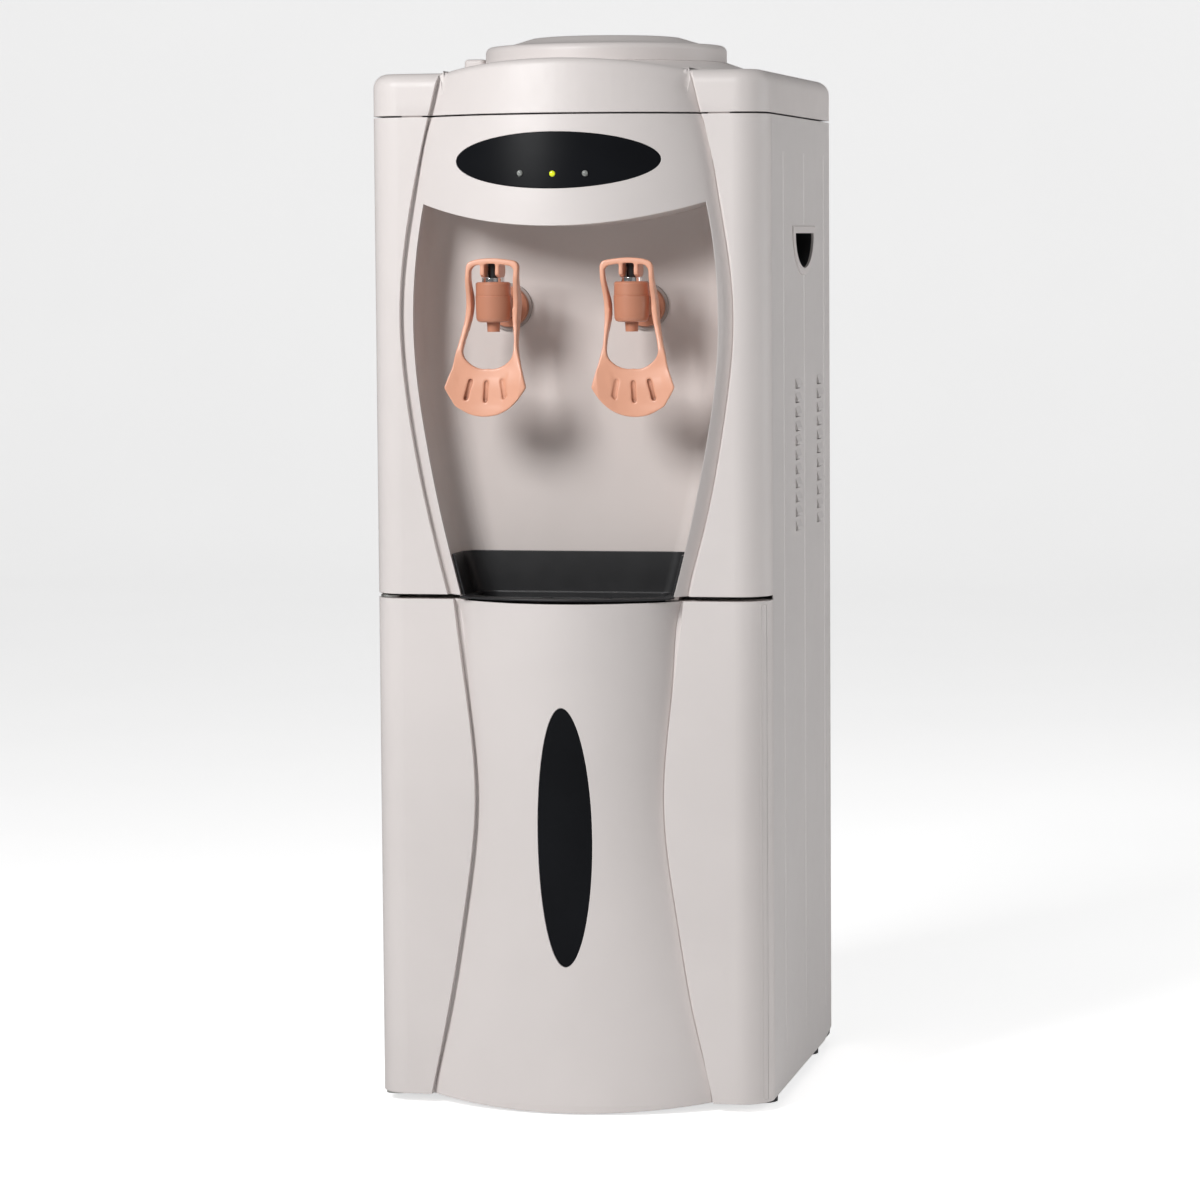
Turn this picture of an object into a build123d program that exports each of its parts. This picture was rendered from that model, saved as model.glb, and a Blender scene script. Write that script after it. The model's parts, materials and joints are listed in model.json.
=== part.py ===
from build123d import *
import os

os.makedirs("parts", exist_ok=True)

# Floor-standing dispenser for an upturned water bottle, with a storage cabinet below.
# Millimetres. +Z is up, -Y is the front, and the origin is on the floor, in the middle
# of the plan. Depths are measured back from the flat part of the front.

# ---- Body ---------------------------------------------------------------------------
BODY_WIDTH = 340
BODY_DEPTH = 341
BOW_REACH = 52          # how far the bowed front stands ahead of the flat front
REAR_REACH = 8          # how far the rear fittings stand behind the back panel
FLOOR_GAP = 8           # clear height under the door and the side panels
DOOR_TOP = 433
PANEL_FOOT = 437        # lower edge of the upper front panel
COVER_SEAM = 840        # joint between the front panel and the top cover
COVER_TOP = 873.5       # top of the cover's shoulders
DECK_TOP = 884          # top of the cover's raised middle
SEAM_GAP = 1.4
SIDE_SEAM = 30          # how far the front mouldings wrap round the sides
CORNER_RADIUS = 27      # upright front corners
WALL = 3                # moulded walls
SHEET = 1               # steel sheet
FIT_GAP = 0.3           # between pieces that move apart
JOINT_GAP = 0.6         # between neighbouring covers

# ---- Bowed front --------------------------------------------------------------------
BOW_STATIONS = 7        # sections between the ends of a bowed form
CREASE_DEPTH = 5        # the bow springs from this far behind the flat front
GROOVE_WIDTH = 2.5      # shadow groove beside the bow
GROOVE_DEPTH = 6
BOW_WIDE_HALF = 141     # upper bow: half width at its widest
BOW_WIDE_Z = 665
BOW_FOOT_HALF = 101.5
BOW_HEAD_HALF = 105
BOW_DEEP_Z = 700        # height at which the upper bow reaches furthest
BOW_END_REACH = 38
WAIST_HALF = 79.5       # door: half width at its waist
WAIST_Z = 262
DOOR_HEAD_HALF = 96.5
DOOR_FOOT_HALF = 120
DOOR_FLAT_Z = 165       # height at which the door's bow reaches least
DOOR_LEAST_REACH = 18.5
DOOR_HEAD_REACH = 44
DOOR_FOOT_REACH = 30
DOOR_SKIRT_DROP = 6.5   # how far the middle of the door's lower edge hangs down

# ---- Dispensing recess --------------------------------------------------------------
RECESS_LIP = 10         # from the edge of the bow to the opening
RECESS_DEPTH = 47.5     # to the face of the back wall
RECESS_HEAD_Z = 766     # corners of the opening
RECESS_SMILE_Z = 747    # lowest point of the curved head
RECESS_CORNER = 18

# ---- Display ------------------------------------------------------------------------
DISPLAY_Z = 801
DISPLAY_HALF_WIDTH = 86.6
DISPLAY_HALF_HEIGHT = 23
INSERT_THICKNESS = 2.5
INSERT_GAP = 0.5
LIGHT_Z = 789
LIGHT_PITCH = 28
LIGHT_RADIUS = 1.8
DOOR_INSERT_Z = 234.5
DOOR_INSERT_HALF_WIDTH = 23
DOOR_INSERT_HALF_HEIGHT = 110

# ---- Taps ---------------------------------------------------------------------------
TAP_PITCH = 118
TAP_DEPTH = -12         # depth of the tap's upright axis
NECK_Z = 679
TAP_RADIUS = 15
TAP_FOOT_Z = 667
BONNET_SEAM_Z = 689
BONNET_TOP_Z = 700.5
WASHER_TOP_Z = 704
WASHER_RADIUS = 9.5
STEM_RADIUS = 4.2
STEM_TOP_Z = 716.5
SPOUT_RADIUS = 5.7
SPOUT_FOOT_Z = 659
SPOUT_BORE = 3.6
NECK_RADIUS = 9
FLANGE_RADIUS = 17.5
WALL_SEAL_RADIUS = 20
WALL_SEAL = 2.5
SHANK_RADIUS = 8
SHANK_END = 72
NUT_RADIUS = 14
NUT_THICKNESS = 7
PIVOT_Z = 711           # lever's pivot through the head of the stem
PIVOT_RADIUS = 1.8
LEVER_TOP_Z = 720.5
LEVER_FOOT_Z = 588.5
LEVER_HEAD_WIDTH = 46.6
LEVER_TIP_WIDTH = 70
LEVER_TIP_Z = 613
LEVER_WAIST_Z = 654
LEVER_SPLAY = 2.4       # degrees by which each paddle leans outwards
LEVER_BAR = 4.6
LEVER_THICKNESS = 4.5
LEVER_BELLY = 9.5       # depth of the side bars beside the valve

# ---- Drip tray ----------------------------------------------------------------------
TRAY_WALL = 2.2
TRAY_FOOT_Z = 409
TRAY_LEDGE_Z = 435      # top of the recess's ledges, on which the tray hangs
TRAY_RIM_Z = 436.6
TRAY_BACK_Z = 471.5     # top of the splash wall
TRAY_GAP = 0.6
BASIN_HALF = 84.5
BASIN_REACH = 30
RIM_REACH = 38
GRILLE_TOP_Z = 432.2
GRILLE_THICKNESS = 2.4

# ---- Bottle seat and tanks ----------------------------------------------------------
SEAT_DEPTH = 175        # depth of the bottle's axis
COLLAR_RADIUS = 106
COLLAR_TOP_Z = 910
PLINTH_RADIUS = 126
PLINTH_Z = 889
SEAT_HOLE_RADIUS = 96
THROAT_RADIUS = 28.5    # takes the neck of a standard 19 litre bottle
THROAT_LENGTH = 40
COLD_RADIUS = 80
COLD_FOOT_Z = 715
COLD_TOP_Z = 866
TANK_SHEET = 1.2
FOAM = 16
HOT_RADIUS = 45
HOT_FOOT_Z = 450
HOT_TOP_Z = 590
HOT_X = -60
HOT_DEPTH = 190
HOSE_RADIUS = 5
HOSE_BORE = 3.2


def depth(value):
    """The y of a point this far behind the flat front."""
    return (BOW_REACH - BODY_DEPTH - REAR_REACH) / 2 + value


def facing(value):
    """A plane seen from the front at this depth; extruding comes towards the viewer."""
    return Plane.XZ.offset(-depth(value))


def blend(middle, end, share, power):
    return middle + (end - middle) * abs(share) ** power


def bow_half(z):
    """Half width of the upper bow at a height."""
    if z < BOW_WIDE_Z:
        return blend(BOW_WIDE_HALF, BOW_FOOT_HALF, (BOW_WIDE_Z - z) / (BOW_WIDE_Z - PANEL_FOOT), 1.55)
    return blend(BOW_WIDE_HALF, BOW_HEAD_HALF, (z - BOW_WIDE_Z) / (COVER_TOP - BOW_WIDE_Z), 1.7)


def bow_reach(z):
    """How far the middle of the upper bow stands forward at a height."""
    span = BOW_DEEP_Z - PANEL_FOOT if z < BOW_DEEP_Z else COVER_TOP - BOW_DEEP_Z
    return blend(BOW_REACH, BOW_END_REACH, (z - BOW_DEEP_Z) / span, 2)


def door_half(z):
    """Half width of the door's waisted bow at a height."""
    if z < WAIST_Z:
        return blend(WAIST_HALF, DOOR_FOOT_HALF, (WAIST_Z - z) / (WAIST_Z - FLOOR_GAP), 1.4)
    return blend(WAIST_HALF, DOOR_HEAD_HALF, (z - WAIST_Z) / (DOOR_TOP - WAIST_Z), 1.4)


def door_reach(z):
    """How far the middle of the door's bow stands forward at a height."""
    if z < DOOR_FLAT_Z:
        return blend(DOOR_LEAST_REACH, DOOR_FOOT_REACH, (DOOR_FLAT_Z - z) / (DOOR_FLAT_Z - FLOOR_GAP), 2)
    return blend(DOOR_LEAST_REACH, DOOR_HEAD_REACH, (z - DOOR_FLAT_Z) / (DOOR_TOP - DOOR_FLAT_Z), 2)


def heights(low, high, count=BOW_STATIONS):
    return [low + (high - low) * i / count for i in range(count + 1)]


def bow_form(half, reach, low, high, inset=0, back=SIDE_SEAM):
    """The bow as a solid: an arc in plan whose width and reach change with height."""
    with BuildPart() as form:
        for z in heights(low, high):
            side = half(z) - inset
            spring = depth(CREASE_DEPTH + inset)
            with BuildSketch(Plane.XY.offset(z)):
                with BuildLine():
                    ThreePointArc((-side, spring), (0, depth(inset - reach(z))), (side, spring))
                    Polyline((side, spring), (side, depth(back)), (-side, depth(back)), (-side, spring))
                make_face()
        loft()
    return form.part


def side_curve(half, low, high, grow):
    """Points up the right-hand edge of a front outline."""
    return [(half(z) + grow, z) for z in heights(low, high, 5)]


def front_prism(half, low, high, grow, front, back):
    """A block with the bow's outline in front view, between two depths."""
    right = side_curve(half, low, high, grow)
    left = [(-x, z) for x, z in right]
    with BuildPart() as prism:
        with BuildSketch(facing(back)):
            with BuildLine():
                Spline(right)
                Line(right[-1], left[-1])
                Spline(left)
                Line(left[0], right[0])
            make_face()
        extrude(amount=back - front)
    return prism.part


def bowed_block(half, reach, low, high, inset=0, back=SIDE_SEAM):
    """Flat shoulders with rounded corners, the shadow groove, and the bow between them."""
    width = BODY_WIDTH - 2 * inset
    with BuildPart() as block:
        with BuildSketch(Plane.XY.offset(low)) as plan:
            with Locations((0, depth((back + inset) / 2))):
                Rectangle(width, back - inset)
            fillet(plan.vertices().group_by(Axis.Y)[0], CORNER_RADIUS - inset)
        extrude(amount=high - low)
        add(
            front_prism(half, low - 1, high + 1, GROOVE_WIDTH + inset, inset - 1, GROOVE_DEPTH + inset),
            mode=Mode.SUBTRACT,
        )
        add(bow_form(half, reach, low, high, inset, back))
    return block.part


def recess_form(grow, low, back, front=-BOW_REACH - 10):
    """The hollow of the recess as a solid, from the back wall out past the front."""
    head = RECESS_HEAD_Z + grow
    right = side_curve(bow_half, low, head, grow - RECESS_LIP)
    left = [(-x, z) for x, z in right]
    with BuildPart() as form:
        with BuildSketch(facing(back)):
            with BuildLine():
                Spline(right)
                ThreePointArc(right[-1], (0, RECESS_SMILE_Z + grow), left[-1])
                Spline(left)
                Line(left[0], right[0])
            make_face()
        extrude(amount=back - front)
        rear = form.faces().sort_by(Axis.Y)[-1].edges().filter_by(GeomType.BSPLINE)
        fillet(rear, RECESS_CORNER + grow)
    return form.part


def oval(z, half_width, half_height, front, back):
    """An upright elliptical bar running front to back."""
    with BuildPart() as bar:
        with BuildSketch(facing(back)):
            with Locations((0, z)):
                Ellipse(half_width, half_height)
        extrude(amount=back - front)
    return bar.part


def slab(x_low, x_high, front, back, low, high):
    """A plain block between two widths, depths and heights."""
    with BuildPart() as block:
        with BuildSketch(Plane.XY.offset(low)):
            with Locations(((x_low + x_high) / 2, depth((front + back) / 2))):
                Rectangle(x_high - x_low, back - front)
        extrude(amount=high - low)
    return block.part


def mirrored(part):
    """The same piece for the other side of the machine."""
    with BuildPart() as other:
        mirror(part, about=Plane.YZ)
    return other.part


BACK_FACE = depth(BODY_DEPTH)
PANEL_HEAD = COVER_SEAM - SEAM_GAP
FAR_FRONT = -BOW_REACH - 10
DECK_LEVEL = DOOR_TOP + FIT_GAP
INNER_PANEL = (PANEL_FOOT + WALL, PANEL_HEAD + 1)    # ends of the upper panel's hollow
INNER_DOOR = (FLOOR_GAP + WALL, DOOR_TOP - WALL)

# ======================================================================================
# Front covers
# ======================================================================================

# ---- Upper front panel: a moulded shell with the recess and display openings ----------
TAB_HEIGHTS = (470, 630, 790)
TAB_WIDTH = 11
TAB_DEPTH = 5
RECESS_PLAY = 0.2
with BuildPart() as upper_front_panel:
    add(bowed_block(bow_half, bow_reach, PANEL_FOOT, PANEL_HEAD))
    add(
        bowed_block(bow_half, bow_reach, *INNER_PANEL, WALL, SIDE_SEAM + 1),
        mode=Mode.SUBTRACT,
    )
    add(recess_form(0, PANEL_FOOT - 10, RECESS_DEPTH), mode=Mode.SUBTRACT)
    add(
        oval(DISPLAY_Z, DISPLAY_HALF_WIDTH + INSERT_GAP, DISPLAY_HALF_HEIGHT + INSERT_GAP, FAR_FRONT, 0),
        mode=Mode.SUBTRACT,
    )

    # notches in the lower edge for the walls of the recess
    add(
        recess_form(WALL, PANEL_FOOT - 10, RECESS_DEPTH)
        & bow_form(bow_half, bow_reach, PANEL_FOOT - WALL, COVER_SEAM, WALL + RECESS_PLAY, RECESS_DEPTH),
        mode=Mode.SUBTRACT,
    )
    # tabs that reach back to the turned-in edges of the side panels
    for z in TAB_HEIGHTS:
        for side in (-1, 1):
            with BuildSketch(Plane.XY.offset(z)):
                with Locations((side * (BODY_WIDTH / 2 - TAB_WIDTH / 2 - 2), depth(SIDE_SEAM - TAB_DEPTH / 2 + JOINT_GAP))):
                    Rectangle(TAB_WIDTH, TAB_DEPTH)
            extrude(amount=TAB_WIDTH)

# ---- Recess: back wall, sides and head, with the ledges that carry the tray -----------
LEDGE_FOOT = DOOR_TOP + JOINT_GAP
LEDGE_WIDTH = 6
RECESS_FOOT_HALF = 60
with BuildPart() as dispensing_recess:
    add(recess_form(WALL, LEDGE_FOOT, RECESS_DEPTH + WALL))
    add(recess_form(0, LEDGE_FOOT - 10, RECESS_DEPTH), mode=Mode.SUBTRACT)
    with BuildSketch(Plane.XY.offset(LEDGE_FOOT)):
        for side in (-1, 1):
            ledge_x = bow_half(LEDGE_FOOT) - RECESS_LIP
            with Locations((side * (ledge_x - LEDGE_WIDTH / 2 + 1), depth(RECESS_DEPTH / 2 - 8))):
                Rectangle(LEDGE_WIDTH + 2, RECESS_DEPTH)
    extrude(amount=TRAY_LEDGE_Z - LEDGE_FOOT)
    add(
        bow_form(bow_half, bow_reach, LEDGE_FOOT, COVER_SEAM, WALL + RECESS_PLAY, RECESS_DEPTH + WALL),
        mode=Mode.INTERSECT,
    )
    with BuildSketch(facing(RECESS_DEPTH + WALL)):
        with Locations((0, NECK_Z)):
            with GridLocations(TAP_PITCH, 0, 2, 1):
                Circle(SHANK_RADIUS + FIT_GAP)
    extrude(amount=2 * WALL, mode=Mode.SUBTRACT)
    # foot that is screwed down on the mid deck
    add(slab(-RECESS_FOOT_HALF, RECESS_FOOT_HALF, RECESS_DEPTH + 1, RECESS_DEPTH + 15, DECK_LEVEL, DECK_LEVEL + WALL))

# ---- Display window and door insert: gloss panes that follow the bow ------------------
WINDOW_FLANGE = 1.5
WINDOW_LAP = 3.5


def bow_pane(half, reach, low, high, z, half_width, half_height):
    """A pane that lies just under the face of a bow; low and high are the bow's own ends."""
    with BuildPart() as pane:
        add(bow_form(half, reach, low, high, INSERT_GAP))
        add(bow_form(half, reach, low, high, INSERT_GAP + INSERT_THICKNESS), mode=Mode.SUBTRACT)
        add(oval(z, half_width, half_height, FAR_FRONT, CREASE_DEPTH), mode=Mode.INTERSECT)
    return pane.part


with BuildPart() as display_window:
    add(bow_pane(bow_half, bow_reach, *INNER_PANEL, DISPLAY_Z, DISPLAY_HALF_WIDTH, DISPLAY_HALF_HEIGHT))
    # flange behind the panel, on which the window is held
    add(
        (
            bow_form(bow_half, bow_reach, *INNER_PANEL, WALL)
            - bow_form(bow_half, bow_reach, *INNER_PANEL, WALL + WINDOW_FLANGE)
        )
        & (
            oval(DISPLAY_Z, DISPLAY_HALF_WIDTH + WINDOW_LAP, DISPLAY_HALF_HEIGHT + WINDOW_LAP, FAR_FRONT, 0)
            - oval(DISPLAY_Z, DISPLAY_HALF_WIDTH - WINDOW_LAP, DISPLAY_HALF_HEIGHT - WINDOW_LAP, FAR_FRONT - 1, 1)
        )
        & slab(-BODY_WIDTH, BODY_WIDTH, FAR_FRONT, CREASE_DEPTH - 2, PANEL_FOOT, PANEL_HEAD)
    )
    with BuildSketch(facing(0)):
        with Locations((0, LIGHT_Z)):
            with GridLocations(LIGHT_PITCH, 0, 3, 1):
                Circle(LIGHT_RADIUS + 0.1)
    extrude(amount=-FAR_FRONT, mode=Mode.SUBTRACT)

# ---- Indicator board, standing behind the window on two posts, and its three lights ---
BOARD_FACE = 20 - BOW_REACH
BOARD_THICKNESS = 1.6
BOARD_MARGIN = 12
POST_RADIUS = 2.5
LIGHT_STAND = 0.2       # how far the lights stand out of the window
LIGHT_FRONT = -bow_reach(LIGHT_Z) + INSERT_GAP - LIGHT_STAND


def bow_surface(x, z):
    """Depth of the upper bow's outer face at a point in front view."""
    rise = bow_reach(z) + CREASE_DEPTH
    return -bow_reach(z) + rise * (x / bow_half(z)) ** 2


with BuildPart() as indicator_board:
    with BuildSketch(facing(BOARD_FACE)):
        with Locations((0, DISPLAY_Z)):
            with GridLocations(2 * (LIGHT_PITCH + POST_RADIUS * 3), 0, 2, 1):
                Circle(POST_RADIUS)
    extrude(amount=BOARD_FACE - FAR_FRONT)
    add(
        bow_form(bow_half, bow_reach, *INNER_PANEL, INSERT_GAP + INSERT_THICKNESS),
        mode=Mode.INTERSECT,
    )
    with BuildSketch(facing(BOARD_FACE + BOARD_THICKNESS)):
        with Locations((0, DISPLAY_Z)):
            Rectangle(2 * (LIGHT_PITCH + BOARD_MARGIN), DISPLAY_HALF_HEIGHT * 1.5)
    extrude(amount=BOARD_THICKNESS)

with BuildPart() as lit_indicator:
    with BuildSketch(facing(BOARD_FACE)):
        with Locations((0, LIGHT_Z)):
            Circle(LIGHT_RADIUS)
    extrude(amount=BOARD_FACE - LIGHT_FRONT)
    chamfer(lit_indicator.faces().sort_by(Axis.Y)[0].edges(), 0.6)

with BuildPart() as unlit_indicators:
    for side in (-1, 1):
        light_face = bow_surface(LIGHT_PITCH, LIGHT_Z) + INSERT_GAP - LIGHT_STAND
        with BuildSketch(facing(BOARD_FACE)):
            with Locations((side * LIGHT_PITCH, LIGHT_Z)):
                Circle(LIGHT_RADIUS)
        extrude(amount=BOARD_FACE - light_face)
    chamfer(unlit_indicators.faces().group_by(Axis.Y)[0].edges(), 0.6)

# ---- Top cover: shoulders, raised middle, plinth and the bottle seat's hole -----------
SHOULDER_RADIUS = 12
RIB_INSET = 1.5
FRONT_RIB_X = BODY_WIDTH / 2 - 39
FRONT_RIB_WIDTH = 18
REAR_RIB_HALF = BODY_WIDTH / 2 - 20
DECK_RADIUS = 7
DECK_BACK = 325
SEAT_Y = depth(SEAT_DEPTH)


def cover_form(inset, low, ease=fillet):
    """Shoulders and raised middle of the cover as one solid, drawn in by a wall."""
    with BuildPart() as shoulders:
        with BuildSketch(Plane.XY.offset(low)) as plan:
            with Locations((0, depth(BODY_DEPTH / 2))):
                Rectangle(BODY_WIDTH - 2 * inset, BODY_DEPTH - 2 * inset)
            fillet(plan.vertices().group_by(Axis.Y)[0], CORNER_RADIUS - inset)
        extrude(amount=COVER_TOP - inset - low)
        ease(shoulders.faces().sort_by(Axis.Z)[-1].edges(), SHOULDER_RADIUS - inset)
    with BuildPart() as middle:
        for z in heights(low, DECK_TOP - inset, 3):
            side = bow_half(z) - inset
            spring = depth(CREASE_DEPTH + inset)
            with BuildSketch(Plane.XY.offset(z)):
                with BuildLine():
                    ThreePointArc((-side, spring), (0, depth(inset - bow_reach(z))), (side, spring))
                    Polyline(
                        (side, spring), (side, depth(DECK_BACK)), (-side, depth(DECK_BACK)), (-side, spring)
                    )
                make_face()
        loft()
        ease(middle.faces().sort_by(Axis.Z)[-1].edges(), DECK_RADIUS - inset)
    with BuildPart() as form:
        add(shoulders.part)
        add(
            front_prism(
                bow_half, low - 1, COVER_TOP + 20, GROOVE_WIDTH + inset, inset - 1, GROOVE_DEPTH + inset
            ),
            mode=Mode.SUBTRACT,
        )
        add(middle.part)
    return form.part


with BuildPart() as top_cover:
    add(cover_form(0, COVER_SEAM))
    with BuildSketch(Plane.XY.offset(DECK_TOP - WALL - 2)):
        with Locations((0, SEAT_Y)):
            Circle(PLINTH_RADIUS)
    extrude(amount=PLINTH_Z - DECK_TOP + WALL + 2)
    fillet(top_cover.faces().sort_by(Axis.Z)[-1].edges(), 3)
    add(cover_form(WALL, COVER_SEAM - 1, chamfer), mode=Mode.SUBTRACT)
    with BuildSketch(Plane.XY.offset(COVER_SEAM)):
        with Locations((0, SEAT_Y)):
            Circle(SEAT_HOLE_RADIUS + FIT_GAP)
    extrude(amount=DECK_TOP, mode=Mode.SUBTRACT)
    # locating ribs that stand on the front panel and the back panel
    for side in (-1, 1):
        with BuildSketch(Plane.XY.offset(PANEL_HEAD)):
            with Locations((side * FRONT_RIB_X, depth((RIB_INSET + WALL) / 2))):
                Rectangle(FRONT_RIB_WIDTH, WALL - RIB_INSET)
        extrude(amount=COVER_SEAM + 2 - PANEL_HEAD)
    rear_rib = BODY_DEPTH - 2 * SHEET
    add(slab(-REAR_RIB_HALF, REAR_RIB_HALF, rear_rib, rear_rib + SHEET, PANEL_HEAD, COVER_SEAM + 1))

# ======================================================================================
# Cabinet door, hinged at the viewer's left
# ======================================================================================
HINGE_X = -BODY_WIDTH / 2 + 12
HINGE_DEPTH = 18
HINGE_PIN_RADIUS = 3
HINGE_PIN_LENGTH = 9
BUSH_RADIUS = 6
BUSH_LENGTH = 10
RUNNING_GAP = 0.05
HINGE_SWING = 12        # the door's rear edge is rounded to this radius about the hinge
STILE_X = HINGE_X + 12    # the moulding closes behind the hinge as far as this
LINER_THICKNESS = 2.5
SCOOP_GAP = 3.5         # round the tray's basin
SCOOP_FOOT_Z = TRAY_FOOT_Z - 4
PAD_HALF = 30           # rib pad behind the black insert
PAD_BACK = -6
MAGNET_X = BODY_WIDTH / 2 - 30
MAGNET_Z = 300
MAGNET_SIZE = (14, 5, 40)
FIELD_MARGIN = 30       # pressed field of the door liner
FIELD_DEPTH = 8
FIELD_WALL = 2
FIELD_LOW_Z = 60
FIELD_HIGH_Z = 370
HINGE = (HINGE_X, depth(HINGE_DEPTH))


def door_skirt():
    """The bowed lower edge that hangs under the middle of the door."""
    with BuildPart() as skirt:
        with BuildSketch(facing(SIDE_SEAM - LINER_THICKNESS)):
            with BuildLine():
                ThreePointArc(
                    (-DOOR_FOOT_HALF, FLOOR_GAP), (0, FLOOR_GAP - DOOR_SKIRT_DROP), (DOOR_FOOT_HALF, FLOOR_GAP)
                )
                Line((DOOR_FOOT_HALF, FLOOR_GAP), (-DOOR_FOOT_HALF, FLOOR_GAP))
            make_face()
        extrude(amount=SIDE_SEAM - FAR_FRONT)
        reach = door_reach(FLOOR_GAP)
        with BuildSketch(Plane.XY.offset(FLOOR_GAP - DOOR_SKIRT_DROP - 1)):
            with BuildLine():
                spring = depth(CREASE_DEPTH)
                ThreePointArc((-DOOR_FOOT_HALF, spring), (0, depth(-reach)), (DOOR_FOOT_HALF, spring))
                Polyline(
                    (DOOR_FOOT_HALF, spring),
                    (DOOR_FOOT_HALF, depth(SIDE_SEAM)),
                    (-DOOR_FOOT_HALF, depth(SIDE_SEAM)),
                    (-DOOR_FOOT_HALF, spring),
                )
            make_face()
        extrude(amount=DOOR_SKIRT_DROP + 2, mode=Mode.INTERSECT)
    return skirt.part


def magnet_block():
    width, thickness, height = MAGNET_SIZE
    return slab(
        MAGNET_X - width / 2,
        MAGNET_X + width / 2,
        SIDE_SEAM - thickness,
        SIDE_SEAM,
        MAGNET_Z - height / 2,
        MAGNET_Z + height / 2,
    )


with BuildPart() as hinge_edge:
    add(slab(-BODY_WIDTH / 2 - 1, HINGE_X, HINGE_DEPTH, SIDE_SEAM + 1, 0, DOOR_TOP + 1))
    with BuildSketch(Plane.XY):
        with Locations(HINGE):
            Circle(HINGE_SWING)
    extrude(amount=DOOR_TOP + 1, mode=Mode.SUBTRACT)

with BuildPart() as door_hollow:
    add(
        bowed_block(
            door_half, door_reach, *INNER_DOOR, WALL, SIDE_SEAM - WALL
        )
    )
    add(
        slab(-BODY_WIDTH / 2, HINGE_X, HINGE_DEPTH - WALL, SIDE_SEAM, 0, DOOR_TOP),
        mode=Mode.SUBTRACT,
    )

with BuildPart() as door_shell:
    add(bowed_block(door_half, door_reach, FLOOR_GAP, DOOR_TOP))
    add(hinge_edge.part, mode=Mode.SUBTRACT)
    add(door_hollow.part, mode=Mode.SUBTRACT)
    # opening at the back for the liner, and solid ends round the hinge bushes
    edge = BODY_WIDTH / 2 - WALL
    add(slab(STILE_X, edge, 10, SIDE_SEAM + 1, FLOOR_GAP + WALL, DOOR_TOP - WALL), mode=Mode.SUBTRACT)
    for low in (FLOOR_GAP, DOOR_TOP - BUSH_LENGTH - WALL):
        add(slab(HINGE_X - 2, STILE_X, HINGE_DEPTH - 10, SIDE_SEAM - 1, low, low + BUSH_LENGTH + WALL))
    # well for the drip tray's basin
    well = BASIN_HALF + SCOOP_GAP
    add(
        bow_form(door_half, door_reach, SCOOP_FOOT_Z - WALL, DOOR_TOP, WALL / 2, SIDE_SEAM)
        & slab(-well - WALL, well + WALL, FAR_FRONT, SIDE_SEAM, SCOOP_FOOT_Z - WALL, DOOR_TOP)
    )
    add(
        bow_form(door_half, door_reach, SCOOP_FOOT_Z, DOOR_TOP + 1, WALL, SIDE_SEAM + 1)
        & slab(-well, well, FAR_FRONT, SIDE_SEAM + 1, SCOOP_FOOT_Z, DOOR_TOP + 1),
        mode=Mode.SUBTRACT,
    )
    add(door_skirt())
    add(
        oval(
            DOOR_INSERT_Z,
            DOOR_INSERT_HALF_WIDTH + INSERT_GAP,
            DOOR_INSERT_HALF_HEIGHT + INSERT_GAP,
            FAR_FRONT,
            0,
        ),
        mode=Mode.SUBTRACT,
    )
    with BuildSketch(Plane.XY.offset(FLOOR_GAP)):
        with Locations(HINGE):
            Circle(BUSH_RADIUS)
    extrude(amount=DOOR_TOP - FLOOR_GAP, mode=Mode.SUBTRACT)
    # rib pads that the black insert is glued to
    pad_low = DOOR_INSERT_Z - DOOR_INSERT_HALF_HEIGHT + 15
    pad_high = DOOR_INSERT_Z + DOOR_INSERT_HALF_HEIGHT - 15
    add(
        bow_form(door_half, door_reach, *INNER_DOOR, INSERT_GAP + INSERT_THICKNESS)
        & slab(-PAD_HALF, PAD_HALF, FAR_FRONT, PAD_BACK, pad_low, pad_high)
    )

with BuildPart() as door_insert:
    add(
        bow_pane(
            door_half, door_reach, *INNER_DOOR, DOOR_INSERT_Z, DOOR_INSERT_HALF_WIDTH, DOOR_INSERT_HALF_HEIGHT
        )
    )

with BuildPart() as door_liner:
    liner_low = FLOOR_GAP + WALL
    liner_high = DOOR_TOP - WALL
    add(slab(STILE_X, edge, SIDE_SEAM - LINER_THICKNESS, SIDE_SEAM, liner_low, liner_high))
    # raised field that stiffens the sheet
    add(
        slab(
            STILE_X + FIELD_MARGIN,
            edge - FIELD_MARGIN,
            SIDE_SEAM - FIELD_DEPTH,
            SIDE_SEAM,
            FIELD_LOW_Z,
            FIELD_HIGH_Z,
        )
    )
    add(
        slab(
            STILE_X + FIELD_MARGIN + FIELD_WALL,
            edge - FIELD_MARGIN - FIELD_WALL,
            SIDE_SEAM - FIELD_DEPTH + FIELD_WALL,
            SIDE_SEAM + 1,
            FIELD_LOW_Z + FIELD_WALL,
            FIELD_HIGH_Z - FIELD_WALL,
        ),
        mode=Mode.SUBTRACT,
    )
    add(
        slab(-well - WALL, well + WALL, 0, SIDE_SEAM + 1, SCOOP_FOOT_Z - WALL, DOOR_TOP),
        mode=Mode.SUBTRACT,
    )
    add(magnet_block(), mode=Mode.SUBTRACT)

with BuildPart() as door_magnet:
    add(magnet_block())

with BuildPart() as door_bushes:
    for low in (FLOOR_GAP, DOOR_TOP - BUSH_LENGTH):
        with BuildSketch(Plane.XY.offset(low)):
            with Locations(HINGE):
                Circle(BUSH_RADIUS)
                Circle(HINGE_PIN_RADIUS + RUNNING_GAP, mode=Mode.SUBTRACT)
        extrude(amount=BUSH_LENGTH)

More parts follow.
